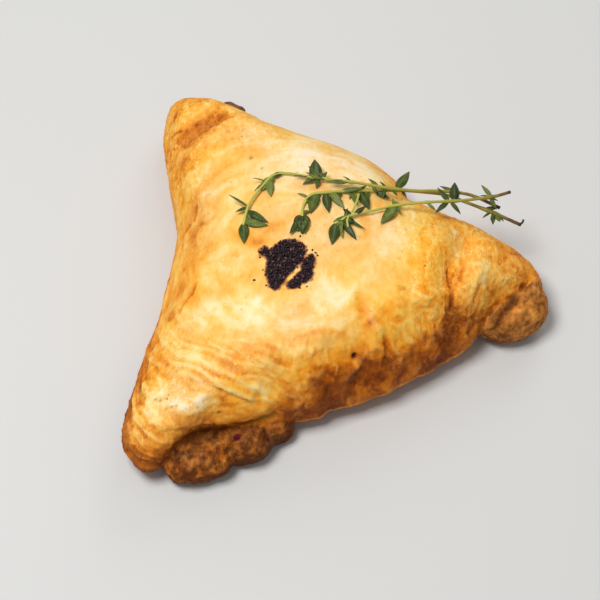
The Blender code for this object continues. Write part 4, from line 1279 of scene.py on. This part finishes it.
def plain_shader(name, roughness, specular=0.5):
    """A new material with its wiring and its Principled shader."""
    material = bpy.data.materials.new(name)
    material.use_nodes = True
    shader = material.node_tree.nodes["Principled BSDF"]
    shader.inputs["Roughness"].default_value = roughness
    shader.inputs["Specular IOR Level"].default_value = specular
    return material, Wiring(material.node_tree), shader


def dress(w, shader, base, height, strength, distance):
    """Give a shader its colour and its fine bumps."""
    w.join(base, shader.inputs["Base Color"])
    w.join(w.bump(height, strength, distance), shader.inputs["Normal"])


def crust_material(crumb):
    """Egg-washed puff pastry: browning, pale flake edges partly painted as highlight, painted shade in
    creases and pinholes, juice stains and a fine crumb.
    """
    material, w, shader = plain_shader("egg_washed_crust", 0.5, 0.08)
    place = w.object_place()
    grain = w.attribute("grain")
    fine = w.node("ShaderNodeGroup", node_tree=crumb)
    w.join(place, fine.inputs["Place"])
    w.join(grain, fine.inputs["Grain"])
    lumps, pinholes, flecks, height = (fine.outputs[key] for key in CRUMB_RESULTS)

    drift = w.spread(w.clouds(place, 150, 5, 0.65), 0.3, 0.7, -0.09, 0.09)
    speck = w.spread(lumps, 0.25, 0.75, 1, -1)
    amount = w.times(w.spread(grain, 0, 1, 0.05, 0.13),
                    w.spread(w.attribute("brown"), 0.5, 1, 1, 0.5))
    brown = w.math("ADD", w.attribute("brown"), drift)
    brown = w.math("ADD", brown, w.times(speck, amount))
    bright = w.spread(w.attribute("brown"), 0.5, 0.9, 0.2, 0.06)
    brown = w.math("SUBTRACT", brown, w.times(flecks, bright), clamp=True)
    base = w.mix(w.attribute("dry"), w.ramp(brown, GLAZED_STOPS), w.ramp(brown, DRY_STOPS))
    # pale marks: partly pale crust, partly painted highlight
    white = w.times(w.attribute("pale"), w.spread(lumps, 0.2, 0.6, 0.5, 1))
    white = w.times(white, w.spread(w.attribute("brown"), 0.45, 0.9, 1, 0.35))
    base = w.mix(white, base, PALE_EDGE_AND_HIGHLIGHT)
    # painted shade in the pinholes
    base = w.mix(w.times(pinholes, 0.6), base, SHADE_BROWN)
    # painted shade in creases, holes, layer gaps and under the rolls
    base = w.mix(w.attribute("shade"), base, SHADE_BROWN)
    base = w.mix(w.attribute("red"), base, RED_FILLING)
    torn = w.math("ADD", w.attribute("stain"),
                  w.spread(w.clouds(place, 700, 3), 0.3, 0.7, -0.22, 0.22))
    base = w.mix(w.spread(torn, 0.15, 0.42, 0, 0.8), base, RED_JUICE)
    base = w.mix(w.spread(torn, 0.5, 0.75), base, DARK_JUICE)
    dress(w, shader, base, height, 0.55, 0.00035)
    rough = w.math("ADD", w.spread(brown, 0.1, 0.9, 0.42, 0.55), w.spread(grain, 0, 1, 0, 0.12))
    w.join(w.math("ADD", rough, w.spread(w.clouds(place, 240, 2), 0.3, 0.7, -0.05, 0.07)),
           shader.inputs["Roughness"])
    gloss = w.times(w.spread(brown, 0.15, 0.75, 0.32, 0.06), w.spread(grain, 0.1, 0.9, 1, 0.25))
    w.join(gloss, shader.inputs["Coat Weight"])
    shader.inputs["Coat Roughness"].default_value = 0.38
    return material


def seed_material():
    """Small dark seeds, nearly black, with a violet cast and a dull skin."""
    material, w, shader = plain_shader("dark_seed", 0.6, 0.3)
    place = w.object_place()
    tone = w.uneven("tone", place, 900, 2, 0.3)
    base = w.ramp(tone, ((0, 28, 18, 24), (0.6, 50, 34, 40), (0.9, 84, 56, 58),
                         (1, 120, 84, 76)))
    dress(w, shader, base, w.clouds(place, 2600, 2), 0.4, 0.0001)
    return material


def leak_material():
    """Filling burnt dark brown."""
    material, w, shader = plain_shader("burnt_filling", 0.5)
    place = w.object_place()
    base = w.ramp(w.clouds(place, 500, 3), ((0.3, 64, 32, 16), (0.7, 140, 80, 44)))
    dress(w, shader, base, w.clouds(place, 1500, 3), 0.5, 0.0002)
    return material


def leaf_material():
    """Thyme leaf: deep green, darker at some leaves, with a lighter midrib and margin."""
    material, w, shader = plain_shader("thyme_leaf", 0.42, 0.3)
    place = w.object_place()
    tone = w.uneven("tone", place, 450, 3, 0.2)
    base = w.ramp(tone, ((0, 32, 42, 8), (0.35, 54, 70, 14), (0.7, 84, 98, 28),
                         (1, 116, 126, 58)))
    across = w.attribute("across")
    rib = w.times(w.spread(across, 0.04, 0.2, 0.4, 0),
                 w.spread(w.attribute("along"), 0.4, 1, 1, 0.1))
    base = w.mix(rib, base, colour(126, 138, 66))
    base = w.mix(w.spread(across, 0.75, 1, 0, 0.35), base, colour(140, 150, 78))
    dress(w, shader, base, w.clouds(place, 1400, 2), 0.5, 0.00012)
    return material


def stem_material():
    """Thyme stem: yellow-green, woody brown near the cut."""
    material, w, shader = plain_shader("thyme_stem", 0.5, 0.3)
    place = w.object_place()
    age = w.uneven("along", place, 380, 3, 0.06)
    base = w.ramp(age, ((0, 84, 56, 36), (0.03, 112, 86, 48), (0.14, 142, 130, 54),
                        (0.45, 172, 168, 62), (1, 190, 196, 92)))
    base = w.mix(w.spread(w.attribute("along"), 0, 0.012, 1, 0), base, colour(46, 34, 28))
    dress(w, shader, base, w.clouds(place, 1200, 2), 0.4, 0.00015)
    return material


# ================================================================ floor, light and camera
# soft lights: name, direction from the origin, distance and size in m, power in W
LIGHTS = (
    ("key", (-0.3, -0.1, 0.95), 0.85, 0.3, 5.35), ("back", (0.35, 0.85, 0.55), 0.9, 0.5, 1.6),
)
SKY_COLOUR = (1, 0.985, 0.96, 1)
SKY_STRENGTH = 0.31
FLOOR_COLOUR = (0.66, 0.66, 0.65, 1)
FLOOR_HALF = 1.2
# the point the camera looks at, in the drawing's mm, and its distance in m, tilt and lens
AIM = (-11.5, 0, 14)
CAMERA_DISTANCE = 0.7
CAMERA_TILT = 60
CAMERA_LENS = 126
CAMERA_SENSOR = 36


def face_origin(holder, away):
    """Turn a light or camera so that it looks back along a direction."""
    holder.rotation_euler = away.to_track_quat("Z", "Y").to_euler()


def make_stage():
    """Plain pale floor, soft studio light and the camera."""
    bm = bmesh.new()
    bmesh.ops.create_grid(bm, x_segments=1, y_segments=1, size=FLOOR_HALF)
    floor = mesh_object("floor", bm)
    material, _, shader = plain_shader("pale_floor", 0.7)
    shader.inputs["Base Color"].default_value = FLOOR_COLOUR
    floor.data.materials.append(material)
    for name, toward, distance, size, power in LIGHTS:
        lamp = bpy.data.lights.new(name, "AREA")
        lamp.energy, lamp.size = power, size
        holder = new_object(name, lamp)
        away = Vector(toward).normalized()
        holder.location = away * distance
        face_origin(holder, away)
    world = bpy.data.worlds.new("studio")
    world.use_nodes = True
    sky = world.node_tree.nodes["Background"]
    sky.inputs[0].default_value = SKY_COLOUR
    sky.inputs[1].default_value = SKY_STRENGTH
    scene = bpy.context.scene
    scene.world = world
    scene.view_settings.view_transform = "Standard"

    tilt = math.radians(CAMERA_TILT)
    back = Vector((0, -math.cos(tilt), math.sin(tilt)))
    lens = bpy.data.cameras.new("camera")
    lens.lens, lens.sensor_width, lens.clip_start = CAMERA_LENS, CAMERA_SENSOR, 0.01
    camera = new_object("camera", lens)
    aim = Vector((AIM[0] - BOX_MIDDLE[0], AIM[1] - BOX_MIDDLE[1], AIM[2])) * MM
    camera.location = aim + back * CAMERA_DISTANCE
    face_origin(camera, back)
    scene.camera = camera


def main():
    tree = make_crust(crust_material(crumb_group()))
    make_seeds(tree, seed_material())
    make_leak(leak_material())
    stem_green, leaf_green = stem_material(), leaf_material()
    for name, form in SPRIGS.items():
        make_sprig(name, form, tree, stem_green, leaf_green)
    make_stage()


main()
